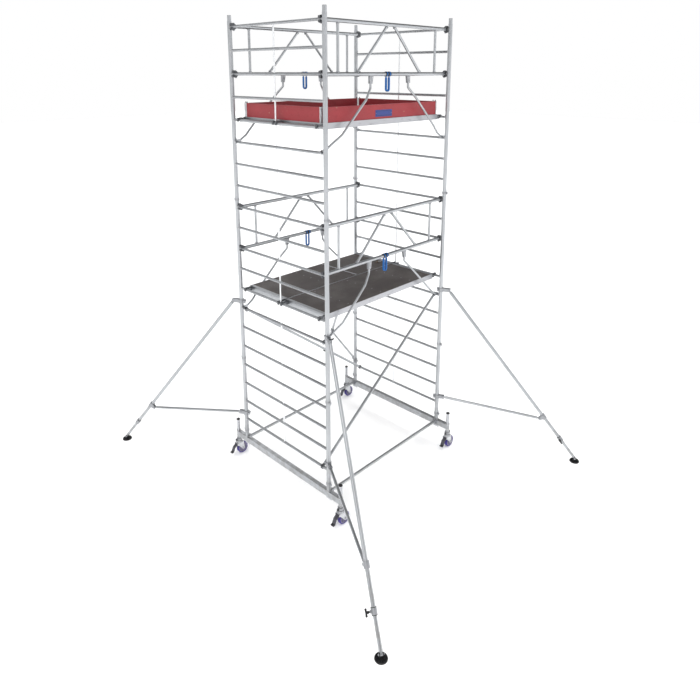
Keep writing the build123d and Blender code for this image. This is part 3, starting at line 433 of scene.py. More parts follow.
# ---- making meshes -----------------------------------------------------------------------
class Shape:
    """A mesh made of turned, bent and boxed pieces, in the frame's own coordinates."""

    def __init__(self):
        self.mesh = bmesh.new()
        self.materials = []

    def use(self, material):
        if material not in self.materials:
            self.materials.append(material)
        return self.materials.index(material)

    def face(self, verts, index):
        self.mesh.faces.new(verts).material_index = index

    def skin(self, rings, material, closed=False):
        """Quads between rings of points; the ends are capped unless the rings close on themselves."""
        index = self.use(material)
        rows = [[self.mesh.verts.new(point) for point in ring] for ring in rings]
        pairs = list(zip(rows, rows[1:]))
        if closed:
            pairs.append((rows[-1], rows[0]))
        for first, second in pairs:
            for k in range(len(first)):
                n = (k + 1) % len(first)
                self.face((first[k], first[n], second[n], second[k]), index)
        if not closed:
            self.face(rows[0][::-1], index)
            self.face(rows[-1], index)

    def turned(self, profile, at, along, material, steps=24):
        """A profile of (radius, height) turned about a direction through a point."""
        turn = Vector(along).normalized().to_track_quat("Z", "Y")
        self.skin([[Vector(at) + turn @ Vector((radius * c, radius * s, height))
                    for c, s in circle(steps)] for radius, height in profile], material)

    def band(self, inner, outer, width, at, along, material, steps=32):
        """A flat ring centred on a point, with slightly rounded outer corners."""
        turn = Vector(along).normalized().to_track_quat("Z", "Y")
        soft = min(width, outer - inner) * 0.25
        section = [(inner, -width / 2), (outer - soft, -width / 2), (outer, -width / 2 + soft),
                   (outer, width / 2 - soft), (outer - soft, width / 2), (inner, width / 2)]
        self.skin([[Vector(at) + turn @ Vector((r * c, r * s, h)) for r, h in section]
                   for c, s in circle(steps)], material, closed=True)

    def bolt(self, at, along, across):
        """A washer and a hexagon head with its corners turned off."""
        r = across / 2
        self.turned([(r * 1.25, 0.0), (r * 1.25, r * 0.2), (r * 1.1, r * 0.26)], at, along, steel(), 20)
        head = Vector(at) + Vector(along).normalized() * (r * 0.26)
        self.turned([(r, 0.0), (r, r * 0.62), (r * 0.84, r * 0.78)], head, along, steel(), 6)

    def rivet(self, at, along, radius):
        """A domed blind rivet with its dimple."""
        self.turned([(radius, 0.0), (radius * 0.94, radius * 0.28), (radius * 0.66, radius * 0.5),
                     (radius * 0.34, radius * 0.56), (radius * 0.26, radius * 0.36)],
                    at, along, steel(), 14)

    def wire(self, points, radius, material, steps=10, closed=False, ripple=0.0):
        """A round wire through points, with ripples along it where asked."""
        points = [Vector(p) for p in points]
        count = len(points)
        rings = []
        side = None
        for k, point in enumerate(points):
            ahead = points[(k + 1) % count] if closed or k < count - 1 else point
            behind = points[k - 1] if closed or k > 0 else point
            along = (ahead - behind).normalized()
            if side is None:
                side = along.orthogonal().normalized()
            side = (side - along * side.dot(along)).normalized()
            other = along.cross(side)
            r = radius * (1 + ripple * cos(pi * k))
            rings.append([point + (side * c + other * s) * r for c, s in circle(steps)])
        self.skin(rings, material, closed)

    def weld(self, points, radius):
        """A closed bead of weld with its ripples."""
        self.wire(points, radius, finish(weld_metal), WELD_SIDES, True, WELD_RIPPLE)

    def block(self, middle, size, material, turn=None, soft=0.15):
        """A box with bevelled edges, turned about its middle by a matrix."""
        index = self.use(material)
        made = bmesh.ops.create_cube(self.mesh, size=1.0)["verts"]
        for vert in made:
            local = Vector(a * b for a, b in zip(vert.co, size))
            vert.co = Vector(middle) + (turn @ local if turn else local)
            for f in vert.link_faces:
                f.material_index = index
        edges = list(dict.fromkeys(e for v in made for e in v.link_edges))
        bmesh.ops.bevel(self.mesh, geom=edges, offset=min(size) * soft, segments=2, affect="EDGES",
                        material=index)

    def piece(self, name, body):
        """Make the object, riding on a CAD body."""
        bmesh.ops.recalc_face_normals(self.mesh, faces=self.mesh.faces)
        data = bpy.data.meshes.new(name)
        self.mesh.to_mesh(data)
        self.mesh.free()
        for material in self.materials:
            data.materials.append(material)
        data.polygons.foreach_set("use_smooth", [True] * len(data.polygons))
        data.set_sharp_from_angle(angle=SHARP_EDGE)
        made = bpy.data.objects.new(name, data)
        bpy.context.scene.collection.objects.link(made)
        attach(made, body)


def dress(node, usual, *rules):
    """Give a node its finishes: each rule is a test of a solid and the finish of those that pass."""
    mesh = frame["nodes"][node].data
    mesh.materials.clear()
    mesh.materials.append(usual)
    used = [usual]
    index = np.zeros(len(mesh.polygons), int)
    if rules:
        for solid in solids(node):
            for test, material in rules:
                if test(solid):
                    if material not in used:
                        used.append(material)
                        mesh.materials.append(material)
                    index[solid.faces] = used.index(material)
                    break
    mesh.polygons.foreach_set("material_index", index.tolist())


# ---- sizes and colours -------------------------------------------------------------------
def metres(name, description, default):
    return FloatProperty(name=name, description=description, default=default, unit="LENGTH",
                         precision=4)


def angle(name, description, default):
    return FloatProperty(name=name, description=description, default=radians(default),
                         subtype="ANGLE")


def colour(name, description, default):
    return FloatVectorProperty(name=name, description=description, default=default, subtype="COLOR",
                               min=0.0, max=1.0)


class TowerSizes(bpy.types.PropertyGroup):
    """Sizes of the small fittings and places of the stage."""

    bead: metres("Weld bead", "Radius of the weld bead round a rung's end", 0.0024)
    rivet: metres("Rivet", "Radius of a rivet's head", 0.0048)
    bolt: metres("Bolt", "Width of a bolt's head across its flats", 0.013)
    pin: metres("Locking pin", "Radius of the wire of a locking pin", 0.0022)
    eye: FloatVectorProperty(name="Eye", description="Where the camera stands", subtype="XYZ",
                             unit="LENGTH", default=(-5.048, -4.998, 4.857))
    heading: angle("Heading", "Camera's heading from +X towards +Y", 44.084)
    tilt: angle("Tilt", "How far the camera looks below the horizon", 13.406)
    lens: FloatProperty(name="Lens", description="Focal length in millimetres", default=31.204)
    rise: FloatProperty(name="Shift", description="Vertical shift of the lens", default=-0.19)
    floor: metres("Floor", "Half the width of the studio floor", 60.0)


class TowerColours(bpy.types.PropertyGroup):
    """Colours of the finishes, as linear values."""

    aluminium: colour("Aluminium", "Drawn tubes", (0.48, 0.495, 0.515))
    deck_rail: colour("Deck rail", "Anodised rails of the decks", (0.46, 0.465, 0.49))
    deck_board: colour("Deck board", "Film of the plywood", (0.060, 0.046, 0.042))
    toe_board: colour("Toe board", "Paint of the toe boards", (0.33, 0.026, 0.034))
    label: colour("Label", "Field of the label plate", (0.022, 0.045, 0.23))
    loop: colour("Loop", "Release loops", (0.012, 0.13, 0.42))
    tyre: colour("Tyre", "Tread of the wheels", (0.024, 0.010, 0.19))
    hub: colour("Hub", "Rim and hub of the wheels", (0.32, 0.30, 0.42))
    zinc: colour("Zinc", "Plated steel", (0.60, 0.61, 0.64))
    pedal: colour("Pedal", "Painted foot lever", (0.085, 0.085, 0.100))
    black_plastic: colour("Black plastic", "Caps, grips and feet", (0.014, 0.014, 0.016))
    cast_grey: colour("Cast grey", "Clamps and brackets", (0.42, 0.43, 0.45))
    cast_light: colour("Cast light", "Housings and toe board brackets", (0.70, 0.71, 0.73))
    claw_dark: colour("Dark claw", "Claws and hooks", (0.15, 0.155, 0.165))


# ---- stage -------------------------------------------------------------------------------
SKY_LEVELS = ((0.16, 1.0), (0.28, 0.28), (0.45, 0.18), (0.75, 0.12))
SUNS = (("key", (-0.75, -0.35, 0.70), 0.9, 24.0), ("fill", (0.55, -0.95, 0.50), 0.5, 40.0),
        ("rim", (0.35, 0.85, 0.60), 0.4, 40.0), ("floor_glow", (-0.20, -0.15, 1.0), 3.0, 100.0))


class MakeStage(bpy.types.Operator):
    """Camera, pale floor and soft studio light"""
    bl_idname = "tower.make_stage"
    bl_label = "Stage"

    def execute(self, context):
        sizes = context.scene.tower_sizes
        self.camera(context.scene, sizes)
        self.sky(context.scene)
        self.suns(context.scene, self.ground(context.scene, sizes.floor))
        return {"FINISHED"}

    def camera(self, scene, sizes):
        data = bpy.data.cameras.new("camera")
        data.lens = sizes.lens
        data.shift_y = sizes.rise
        data.clip_end = 200.0
        camera = bpy.data.objects.new("camera", data)
        camera.location = sizes.eye
        look = Vector((cos(sizes.tilt) * cos(sizes.heading), cos(sizes.tilt) * sin(sizes.heading),
                       -sin(sizes.tilt)))
        camera.rotation_euler = look.to_track_quat("-Z", "Y").to_euler()
        scene.collection.objects.link(camera)
        scene.camera = camera

    def sky(self, scene):
        """White at the horizon and below it, and dark above, so that tubes show against it."""
        scene.world = bpy.data.worlds.new("studio")
        scene.world.use_nodes = True
        tree = scene.world.node_tree
        tree.nodes.clear()
        place, split, ramp, back, out = (tree.nodes.new("ShaderNode" + kind) for kind in (
            "TexCoord", "SeparateXYZ", "ValToRGB", "Background", "OutputWorld"))
        stops = ramp.color_ramp.elements
        stops[0].color = stops[1].color = (1.0, 1.0, 1.0, 1)
        for position, level in SKY_LEVELS:
            stops.new(position).color = (level, level, level * 1.01, 1)
        tree.links.new(place.outputs["Generated"], split.inputs[0])
        tree.links.new(split.outputs["Z"], ramp.inputs[0])
        tree.links.new(ramp.outputs[0], back.inputs[0])
        tree.links.new(back.outputs[0], out.inputs[0])
        scene.view_settings.view_transform = "Standard"

    def suns(self, scene, ground):
        """Soft suns, the last of which lights the floor alone."""
        lit_floor = bpy.data.collections.new("lit_floor")
        lit_floor.objects.link(ground)
        for name, toward, strength, spread in SUNS:
            data = bpy.data.lights.new(name, "SUN")
            data.energy = strength
            data.angle = radians(spread)
            lamp = bpy.data.objects.new(name, data)
            lamp.rotation_euler = Vector(toward).to_track_quat("Z", "Y").to_euler()
            scene.collection.objects.link(lamp)
        lamp.light_linking.receiver_collection = lit_floor

    def ground(self, scene, reach):
        data = bpy.data.meshes.new("floor")
        data.from_pydata([(-reach, -reach, 0), (reach, -reach, 0), (reach, reach, 0),
                          (-reach, reach, 0)], [], [(0, 1, 2, 3)])
        data.materials.append(finish(studio_floor))
        ground = bpy.data.objects.new("floor", data)
        scene.collection.objects.link(ground)
        return ground


# ---- ladder frames -----------------------------------------------------------------------
def is_post(solid):
    return solid.size.z > 0.5


def is_rung(solid):
    return solid.size.y > 1.0


def is_long_rail(solid):
    return solid.size.x > LONG_RAIL


def is_clip(solid):
    return solid.size.z < 0.03 and solid.size.x < 0.08


def is_spigot(solid):
    return 0.12 < solid.size.z < 0.2


def is_bar(solid):
    return solid.size.x < 0.025


def rung_weld(shape, rung, upright, bead):
    """The bead where a round rung meets a round post."""
    toward = sign(rung.middle.y - upright.middle.y)
    rung_r = rung.size.z / 2 + bead * 0.3
    post_r = upright.size.x / 2 + bead * 0.2
    shape.weld([(upright.middle.x + rung_r * c,
                 upright.middle.y + toward * sqrt(post_r ** 2 - (rung_r * c) ** 2),
                 rung.middle.z + rung_r * s) for c, s in circle(36)], bead)


def locking_pin(shape, clip, uprights, radius):
    """A wire pin through the clip's lug with a ring to pull it by."""
    below, above, collar, lug, ring = 0.030, 0.022, 0.014, 0.007, 0.011
    upright = min(uprights, key=lambda s: abs(s.middle.y - clip.middle.y))
    y = clip.high.y - lug if clip.middle.y > upright.middle.y else clip.low.y + lug
    x, z = upright.middle.x, clip.middle.z
    shape.wire([(x, y, z - below), (x, y, z + above)], radius * 1.5, steel())
    shape.band(radius * 1.5, radius * 2.6, 0.002, (x, y, z + collar), Z, steel(), 16)
    shape.wire([(x + ring * c, y, z + above + ring + ring * s) for c, s in circle(28)],
               radius * 0.7, steel(), steps=8, closed=True)


class MakeFrames(bpy.types.Operator):
    """Ladder frames: tube finishes, weld beads at the rungs and locking pins at the joints"""
    bl_idname = "tower.make_frames"
    bl_label = "Ladder frames"

    def execute(self, context):
        sizes = context.scene.tower_sizes
        posts = finish(drawn_tube, Z)
        welds = Shape()
        pins = Shape()
        for node in sorted(n for n in frame["nodes"] if n.startswith("frame_")):
            dress(node, posts, (is_post, posts), (is_rung, finish(ribbed_rung)),
                  (is_clip, grey_cast()), (is_spigot, posts), (is_bar, finish(pale_bar)))
            found = solids(node)
            uprights = list(filter(is_post, found))
            for rung in filter(is_rung, found):
                for upright in uprights:
                    rung_weld(welds, rung, upright, sizes.bead)
            for clip in filter(is_clip, found):
                locking_pin(pins, clip, uprights, sizes.pin)
        welds.piece("rung_welds", TOWER)
        pins.piece("locking_pins", TOWER)
        return {"FINISHED"}


# ---- chassis -----------------------------------------------------------------------------
def is_nut(solid):
    return solid.size.x > 0.09


def is_wing(solid):
    return 0.06 < solid.size.y < 0.1 and solid.size.x < 0.05


def is_sleeve(solid):
    return 0.045 < solid.size.x < 0.052 and solid.size.y < 0.08


def round_weld(shape, sleeve, z, bead):
    """The bead where a sleeve goes through the beam."""
    radius = sleeve.size.x / 2 + bead * 0.2
    shape.weld([(sleeve.middle.x + radius * c, sleeve.middle.y + radius * s, z)
                for c, s in circle(48)], bead * 1.2)


def nut_grips(shape, nut):
    """Plastic grips over the two wings of a jack nut."""
    for side in BOTH:
        tip = nut.middle.x + side * nut.size.x / 2
        at = Vector((tip - side * 0.008, nut.middle.y, nut.middle.z + 0.001))
        shape.block(at, (0.022, 0.019, 0.025), black(), soft=0.3)
        for k in (-1, 0, 1):
            shape.block(at + Vector((side * 0.004 * k, 0, 0)), (0.0016, 0.0212, 0.027), black())


class MakeChassis(bpy.types.Operator):
    """Chassis beams and base rails: tube finishes, weld beads, bolts and grips on the jack nuts"""
    bl_idname = "tower.make_chassis"
    bl_label = "Chassis"

    def execute(self, context):
        sizes = context.scene.tower_sizes
        shape = Shape()
        grips = Shape()
        for node in ("chassis_beam_left", "chassis_beam_right"):
            dress(node, finish(drawn_tube, Y), (is_nut, grey_cast()), (is_wing, steel()),
                  (is_sleeve, finish(drawn_tube, Z)))
            found = solids(node)
            beam = max(found, key=lambda s: s.size.y)
            for solid in found:
                if is_sleeve(solid):
                    round_weld(shape, solid, beam.high.z, sizes.bead)
                    if solid.low.z < beam.low.z:
                        round_weld(shape, solid, beam.low.z, sizes.bead)
                if is_nut(solid):
                    nut_grips(grips, solid)
        dress("base_rails", grey_cast(), (is_long_rail, finish(drawn_tube, X)))
        for socket in [s for s in solids("base_rails") if not is_long_rail(s)]:
            for z, up in ((socket.low.z, -1), (socket.high.z, 1)):
                shape.bolt((socket.middle.x, socket.middle.y, z), (0, 0, up), sizes.bolt)
        shape.piece("chassis_welds_and_bolts", TOWER)
        grips.piece("jack_nut_grips", TOWER)
        return {"FINISHED"}


# ---- castors -----------------------------------------------------------------------------
SWIVEL_OFFSET = 0.040


def wheel_ribs(corner, hub, radius, rim):
    """Ribs between hub and rim, the bearing's seal and two moulded lines on the tread."""
    shape = Shape()
    ribs = 10
    for side in BOTH:
        for k in range(ribs):
            turn = Matrix.Rotation(-2 * pi * k / ribs, 3, "Y")
            at = hub + turn @ Vector((radius * 0.52, side * 0.0125, 0))
            shape.block(at, (radius * 0.42, 0.011, 0.0045), rim, turn, 0.25)
        for inner, outer, width, reach, material, steps in (
                (0.0078, 0.019, 0.002, 0.0282, black(), 36),
                (radius * 0.735, radius * 0.775, 0.0022, 0.0218, rim, 60),
                (radius * 0.995, radius * 1.004, 0.0022, 0.0085, finish(tyre), 72)):
            shape.band(inner, outer, width, hub + Vector((0, side * reach, 0)), Y, material, steps)
    shape.piece(f"wheel_ribs_{corner}", f"castor_wheel_{corner}")


def fork_fittings(corner, hub):
    """Axle nuts, cheek flanges and the housing over the swivel's race."""
    low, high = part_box(f"castor_fork_{corner}")
    shape = Shape()
    swivel = Vector((hub.x - SWIVEL_OFFSET, hub.y, high.z))
    for side, y in ((-1, low.y), (1, high.y)):
        shape.bolt((hub.x, y - side * 0.004, hub.z), (0, side, 0), 0.019)
        shape.band(0.010, 0.0175, 0.003, (hub.x, y - side * 0.0090, hub.z), Y, steel())
    for outer, width, drop, material in ((0.0375, 0.0115, 0.0068, light_cast()),
                                         (0.0405, 0.0035, 0.0113, steel())):
        shape.band(0.0335, outer, width, swivel - Vector((0, 0, drop)), Z, material, 48)
    for side in BOTH:
        for dx in (-0.034, 0.040):
            shape.rivet(swivel + Vector((dx, side * 0.021, -0.013)), Z, 0.0045)
    shape.piece(f"fork_fittings_{corner}", f"castor_fork_{corner}")


def pedal_treads(corner):
    """Rubber bars across the pedal's foot plate."""
    low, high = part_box(f"brake_pedal_{corner}")
    shape = Shape()
    turn = Matrix.Rotation(-atan2(0.008, 0.022), 3, "Y")
    for k in range(4):
        run = 0.004 + 0.0055 * k
        at = Vector((low.x + run, (low.y + high.y) / 2, low.z + 0.0062 + run * 0.36))
        shape.block(at, (0.0032, (high.y - low.y) * 0.84, 0.0030), finish(rubber), turn, 0.3)
    shape.piece(f"pedal_treads_{corner}", f"brake_pedal_{corner}")


def stem_rings(corner):
    """Dust ring under the stem's flange and a moulded ring at its cap."""
    node = f"castor_stem_{corner}"
    low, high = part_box(node)
    shape = Shape()
    middle = (low + high) / 2
    cap = max(solids(node), key=lambda s: s.high.z)
    flange_r, cap_r = (high.x - low.x) / 2, cap.size.x / 2
    shape.band(flange_r * 0.99, flange_r * 1.05, 0.006, (middle.x, middle.y, low.z + 0.0385), Z,
               black(), 48)
    shape.band(cap_r * 0.97, cap_r * 1.06, 0.0035, (middle.x, middle.y, cap.low.z + 0.0025), Z,
               black(), 40)
    shape.piece(f"stem_rings_{corner}", node)


class MakeCastors(bpy.types.Operator):
    """Castors: stems, swivel forks, wheels with ribs and nuts, and brake pedals with treads"""
    bl_idname = "tower.make_castors"
    bl_label = "Castors"

    def execute(self, context):
        rim = finish(moulded, tuple(colours().hub), "hub", 0.34, 380.0)
        pedal = finish(moulded, tuple(colours().pedal), "pedal", 0.42, 300.0)
        for corner in CORNERS:
            dress(f"castor_stem_{corner}", steel(), (lambda s: s.size.z < 0.03, black()))
            dress(f"castor_fork_{corner}", light_cast())
            dress(f"castor_wheel_{corner}", rim, (lambda s: s.size.z > 0.14, finish(tyre)))
            dress(f"brake_pedal_{corner}", pedal)
            low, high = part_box(f"castor_wheel_{corner}")
            hub = (low + high) / 2
            wheel_ribs(corner, hub, high.z - hub.z, rim)
            fork_fittings(corner, hub)
            pedal_treads(corner)
            stem_rings(corner)
        return {"FINISHED"}


# ---- outriggers --------------------------------------------------------------------------
def arm_bolts(corner, across, away, head):
    """Hexagon heads on the cross pins and closing bolts, and the rings at the arm's end."""
    arm = f"outrigger_arm_{corner}"
    shape = Shape()
    post = joint(f"outrigger_swing_{corner}", "pos_m")
    for casting in [s for s in solids(arm) if s.size.length < 0.3]:
        if (casting.middle - post).xy.length < 0.12:
            bolt = Vector((post.x, post.y, casting.middle.z)) - away * 0.0407
            shape.bolt(bolt - across * 0.026, -across, head)
            shape.bolt(bolt + across * 0.022, across, head)
    boss = joint(f"screw_turn_{corner}", "pos_m")
    along = joint(f"leg_slide_{corner}", "axis")
    for reach, outer, width in ((0.0305, 0.0262, 0.007), (-0.029, 0.0275, 0.004)):
        shape.band(0.0203, outer, width, boss + along * reach, along, black(), 40)
    shape.piece(f"arm_bolts_{corner}", arm)


def foot_ribs(corner, across):
    """Ribs over the pad, its rubber sole and the heads of its pin."""
    low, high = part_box(f"outrigger_foot_{corner}")
    middle = (low + high) / 2
    radius = (high.x - low.x) / 2
    shape = Shape()
    ribs = 12
    for k in range(ribs):
        turn = Matrix.Rotation(2 * pi * k / ribs + pi / ribs, 3, "Z")
        at = Vector((middle.x, middle.y, 0.0135)) + turn @ Vector((radius * 0.66, 0, 0))
        shape.block(at, (radius * 0.44, 0.004, 0.0045), black(), turn, 0.3)
    shape.band(radius * 0.80, radius * 1.02, 0.0058, (middle.x, middle.y, 0.0029), Z,
               finish(rubber), 64)
    shape.band(radius * 0.86, radius * 0.95, 0.004, (middle.x, middle.y, 0.0125), Z, black(), 64)
    pin = joint(f"foot_tilt_{corner}", "pos_m")
    for side in BOTH:
        shape.bolt(pin + across * (side * 0.0205), across * side, 0.016)
    shape.piece(f"foot_ribs_{corner}", f"outrigger_foot_{corner}")


def screw_grip(corner, along):
    """Rounded ends and flutes on the tee handle."""
    screw = f"screw_turn_{corner}"
    centre = joint(screw, "pos_m") + joint(screw, "axis") * 0.073
    shape = Shape()
    for side in BOTH:
        shape.turned([(0.0092, -0.012), (0.0102, -0.006), (0.0098, 0.0), (0.0066, 0.0028)],
                     centre + along * (side * 0.031), along * side, black(), 20)
        for k in range(6):
            shape.band(0.0078, 0.0089, 0.0014, centre + along * (side * (0.006 + k * 0.0024)), along,
                       black(), 20)
    shape.piece(f"screw_grip_{corner}", f"clamp_screw_{corner}")


class MakeOutriggers(bpy.types.Operator):
    """Outriggers: arms, legs, clamps with bolts, end rings, feet with treads and clamping screws"""
    bl_idname = "tower.make_outriggers"
    bl_label = "Outriggers"

    def execute(self, context):
        strut_drop = 0.08
        for corner in CORNERS:
            along = joint(f"leg_slide_{corner}", "axis")
            away = Vector((along.x, along.y, 0)).normalized()
            across = away.cross(Vector(Z))
            tube = finish(drawn_tube, tuple(along))
            strut = finish(drawn_tube, tuple(Vector((away.x, away.y, -strut_drop))))
            dress(f"outrigger_arm_{corner}", grey_cast(), (lambda s: s.size.z > 1.5, tube),
                  (lambda s: s.size.length > 1.0, strut))
            dress(f"outrigger_leg_{corner}", tube)
            dress(f"outrigger_foot_{corner}", black())
            dress(f"clamp_screw_{corner}", black())
            arm_bolts(corner, across, away, context.scene.tower_sizes.bolt)
            foot_ribs(corner, across)
            screw_grip(corner, along)
        return {"FINISHED"}


# ---- platforms ---------------------------------------------------------------------------
def is_end_rail(solid):
    return solid.size.y > 0.6 and solid.size.z > 0.05


def is_cross_member(solid):
    return solid.size.y > 0.5 and solid.size.z < 0.05


def is_hinge(solid):
    return solid.size.length < 0.1


def rail_rivets(shape, members, rails, radius):
    """Pairs of rivets on the outside of the side rails, at every cross member."""
    outer = max(rails, key=lambda s: abs(s.middle.y))
    out = sign(outer.middle.y)
    y = outer.high.y if out > 0 else outer.low.y
    for member in members:
        for dx in (-0.011, 0.011):
            shape.rivet((member.middle.x + dx, y, member.middle.z - 0.002), (0, out, 0), radius)


def board_screws(shape, members, boards):
    """Countersunk screws through the boards into the cross members."""
    edge = 0.001
    for member in members:
        for board in boards:
            inside = board.low.x - edge <= member.middle.x <= board.high.x + edge
            if not inside or board.middle.y * member.middle.y <= 0:
                continue
            for share in (0.08, 0.29, 0.5, 0.71, 0.92):
                y = board.low.y + share * board.size.y
                shape.turned([(0.0052, 0.0), (0.0048, 0.0007), (0.0020, 0.0007), (0.0016, 0.0002)],
                             (member.middle.x, y, board.high.z), Z, steel(), 16)


def corner_blocks(shape, end_rails, radius):
    """Grey end pieces where an end rail meets the side rails, with two rivets each."""
    half = 0.0155
    for rail in end_rails:
        out = sign(rail.middle.x)
        x = rail.high.x if out > 0 else rail.low.x
        for y in (rail.low.y + half, rail.high.y - half):
            shape.block((rail.middle.x, y, rail.middle.z),
                        (rail.size.x + 0.0012, 0.030, rail.size.z + 0.0014), grey_cast(), soft=0.03)
            for dz in (-0.016, 0.016):
                shape.rivet((x + out * 0.0004, y, rail.middle.z + dz), (out, 0, 0), radius)


def lid_fittings(level):
    """Hinge screws, a pull bar in the recess and an edge strip on the lid."""
    node = f"hatch_lid_{level}"
    low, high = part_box(node)
    hinge = joint(f"hatch_{level}", "pos_m")
    top = hinge.z - 0.007
    free = low.x if abs(low.x - hinge.x) > abs(high.x - hinge.x) else high.x
    toward = sign(free - hinge.x)
    middle_y = (low.y + high.y) / 2
    shape = Shape()
    shape.block((free - toward * 0.012, middle_y, top + 0.0010),
                (0.022, high.y - low.y - 0.012, 0.0022), finish(deck_rail), soft=0.2)
    grip = Vector((free - toward * 0.058, middle_y, top + 0.0062))
    shape.wire([grip + Vector((0, dy, dz)) for dy, dz in (
        (-0.036, -0.008), (-0.036, 0), (0.036, 0), (0.036, -0.008))], 0.0032, steel())
    hinge_start, hinge_run, leaf_middle = 0.328, 0.655, 0.0105
    for share in (0.25, 0.75):
        for dy in (-0.006, 0.006):
            y = hinge.y - hinge_start + hinge_run * share + leaf_middle + dy
            shape.turned([(0.0032, 0.0), (0.0028, 0.0006), (0.0012, 0.0004)],
                         (hinge.x + toward * 0.030, y, top + 0.003), Z, steel(), 12)
    shape.piece(f"lid_fittings_{level}", node)


def hook_fittings(shape, hook):
    """The pivot pin and the wind catch on a hook."""
    out = sign(hook.middle.x)
    x = hook.middle.x - out * 0.006
    for side in BOTH:
        shape.rivet((x - out * 0.012, hook.middle.y + side * hook.size.y / 2, hook.middle.z + 0.003),
                    (0, side, 0), 0.0055)
    shape.block((x + out * 0.008, hook.middle.y, hook.high.z + 0.0012), (0.034, 0.012, 0.0035),
                steel(), soft=0.3)


class MakeDecks(bpy.types.Operator):
    """Platforms: rails, boards and hatches, with rivets, screws, hinge screws and latches"""
    bl_idname = "tower.make_decks"
    bl_label = "Platforms"

    def execute(self, context):
        radius = context.scene.tower_sizes.rivet
        shape = Shape()
        for level in LEVELS:
            dress(f"deck_panels_{level}", finish(deck_board))
            dress(f"hatch_lid_{level}", finish(deck_board))
            lid_fittings(level)
            boards = solids(f"deck_panels_{level}")
            for side in SIDES:
                node = f"platform_frame_{level}_{side}"
                dress(node, finish(deck_rail), (is_end_rail, finish(drawn_tube, Y)),
                      (is_hinge, steel()))
                found = solids(node)
                members = list(filter(is_cross_member, found))
                rail_rivets(shape, members, filter(is_long_rail, found), radius)
                board_screws(shape, members, boards)
                corner_blocks(shape, filter(is_end_rail, found), radius)
        dress("platform_hooks", dark_cast())
        for hook in solids("platform_hooks"):
            hook_fittings(shape, hook)
        shape.piece("deck_rivets_and_screws", TOWER)
        return {"FINISHED"}


# ---- toe boards --------------------------------------------------------------------------
def is_board_bracket(solid):
    return max(solid.size.x, solid.size.y) < 0.06


def bracket_screws(shape, bracket, radius):
    """Screws on a bracket's outer face, and the peg on its top."""
    if bracket.size.x < bracket.size.y:
        out = Vector((0, sign(bracket.middle.y), 0))
    else:
        out = Vector((sign(bracket.middle.x), 0, 0))
    depth = max(bracket.size.x, bracket.size.y)
    face = bracket.middle + out * (depth / 2)
    for dz in (-0.05, 0.0, 0.05):
        shape.rivet(face + Vector((0, 0, dz)), out, radius * 0.9)
    shape.turned([(0.0052, 0.0), (0.0058, 0.003), (0.0058, 0.009), (0.0046, 0.012)],
                 (bracket.middle.x, bracket.middle.y, bracket.high.z), Z, black(), 18)


class MakeToeBoards(bpy.types.Operator):
    """Toe boards: painted boards, cast end brackets with screws, and one plain label plate"""
    bl_idname = "tower.make_toe_boards"
    bl_label = "Toe boards"

    def execute(self, context):
        radius = context.scene.tower_sizes.rivet
        node = "toe_boards"
        found = solids(node)
        label = min(found, key=lambda s: s.size.y)
        half_x, half_z = label.size.x / 2, label.size.z / 2
        plate = finish(label_plate, label.middle.x, label.middle.z, half_x, half_z)
        dress(node, finish(red_board), (lambda s: s.size.y == label.size.y, plate),
              (is_board_bracket, light_cast()))
        shape = Shape()
        for bracket in filter(is_board_bracket, found):
            bracket_screws(shape, bracket, radius)
        for side in BOTH:
            at = (label.middle.x + side * (half_x - 0.010), label.low.y, label.middle.z)
            shape.rivet(at, (0, -1, 0), radius * 0.6)
        shape.piece("toe_board_screws", TOWER)
        return {"FINISHED"}


# ---- guard rails -------------------------------------------------------------------------
def is_claw(solid):
    return solid.size.length < 0.15 and abs(solid.middle.x) > 0.9


def is_leg_bracket(solid):
    return solid.size.length < 0.15 and abs(solid.middle.x) < 0.5


def is_bent_leg(solid):
    return solid.size.z > 0.55 and solid.size.x > 0.5


def is_stay(solid):
    return 0.35 < solid.size.z < 0.55


def claw_trigger(shape, claw):
    """A spring trigger, its pivot and two cast ribs on each claw."""
    out = sign(claw.middle.x)
    for side in BOTH:
        y = claw.middle.y + side * claw.size.y / 2
        shape.rivet((claw.middle.x - out * 0.026, y, claw.middle.z), (0, side, 0), 0.006)
        shape.block((claw.middle.x + out * 0.003, y + side * 0.0008, claw.high.z - 0.012),
                    (0.030, 0.0024, 0.004), dark_cast())
    shape.block((claw.middle.x - out * 0.016, claw.middle.y, claw.low.z - 0.002),
                (0.022, 0.012, 0.008), steel(), soft=0.25)


def bracket_bolts(shape, bracket, head):
    """Two bolts through each bracket, on both faces."""
    for side in BOTH:
        y = bracket.middle.y + side * bracket.size.y / 2
        for dz in (-0.026, 0.020):
            shape.bolt((bracket.middle.x, y, bracket.middle.z + dz), (0, side, 0), head)


def stay_rivets(shape, stay, rails, radius):
    """Flattened plugs with a rivet where an upright or a diagonal meets the rails."""
    slanted = stay.size.x > 0.1
    end_inset, plug_rise, plug_lean, slope = 0.014, 0.006, 0.006, 0.94
    out = sign(stay.middle.x)
    for rail in rails:
        top = rail.middle.z > stay.middle.z
        up = -1 if top else 1
        x, lean, tilt = stay.middle.x, 0, 0
        if slanted:
            x = stay.low.x + end_inset if top == (out > 0) else stay.high.x - end_inset
            lean, tilt = plug_lean * out * up, -slope * out
        shape.band(0.0143, 0.0172, 0.008,
                   (x - lean, rail.middle.y, rail.middle.z + up * (rail.size.z / 2 + plug_rise)),
                   (tilt, 0, 1), grey_cast(), 28)
        for side in BOTH:
            shape.rivet((x, rail.middle.y + side * 0.0198, rail.middle.z + up * 0.002),
                        (0, side, 0), radius)


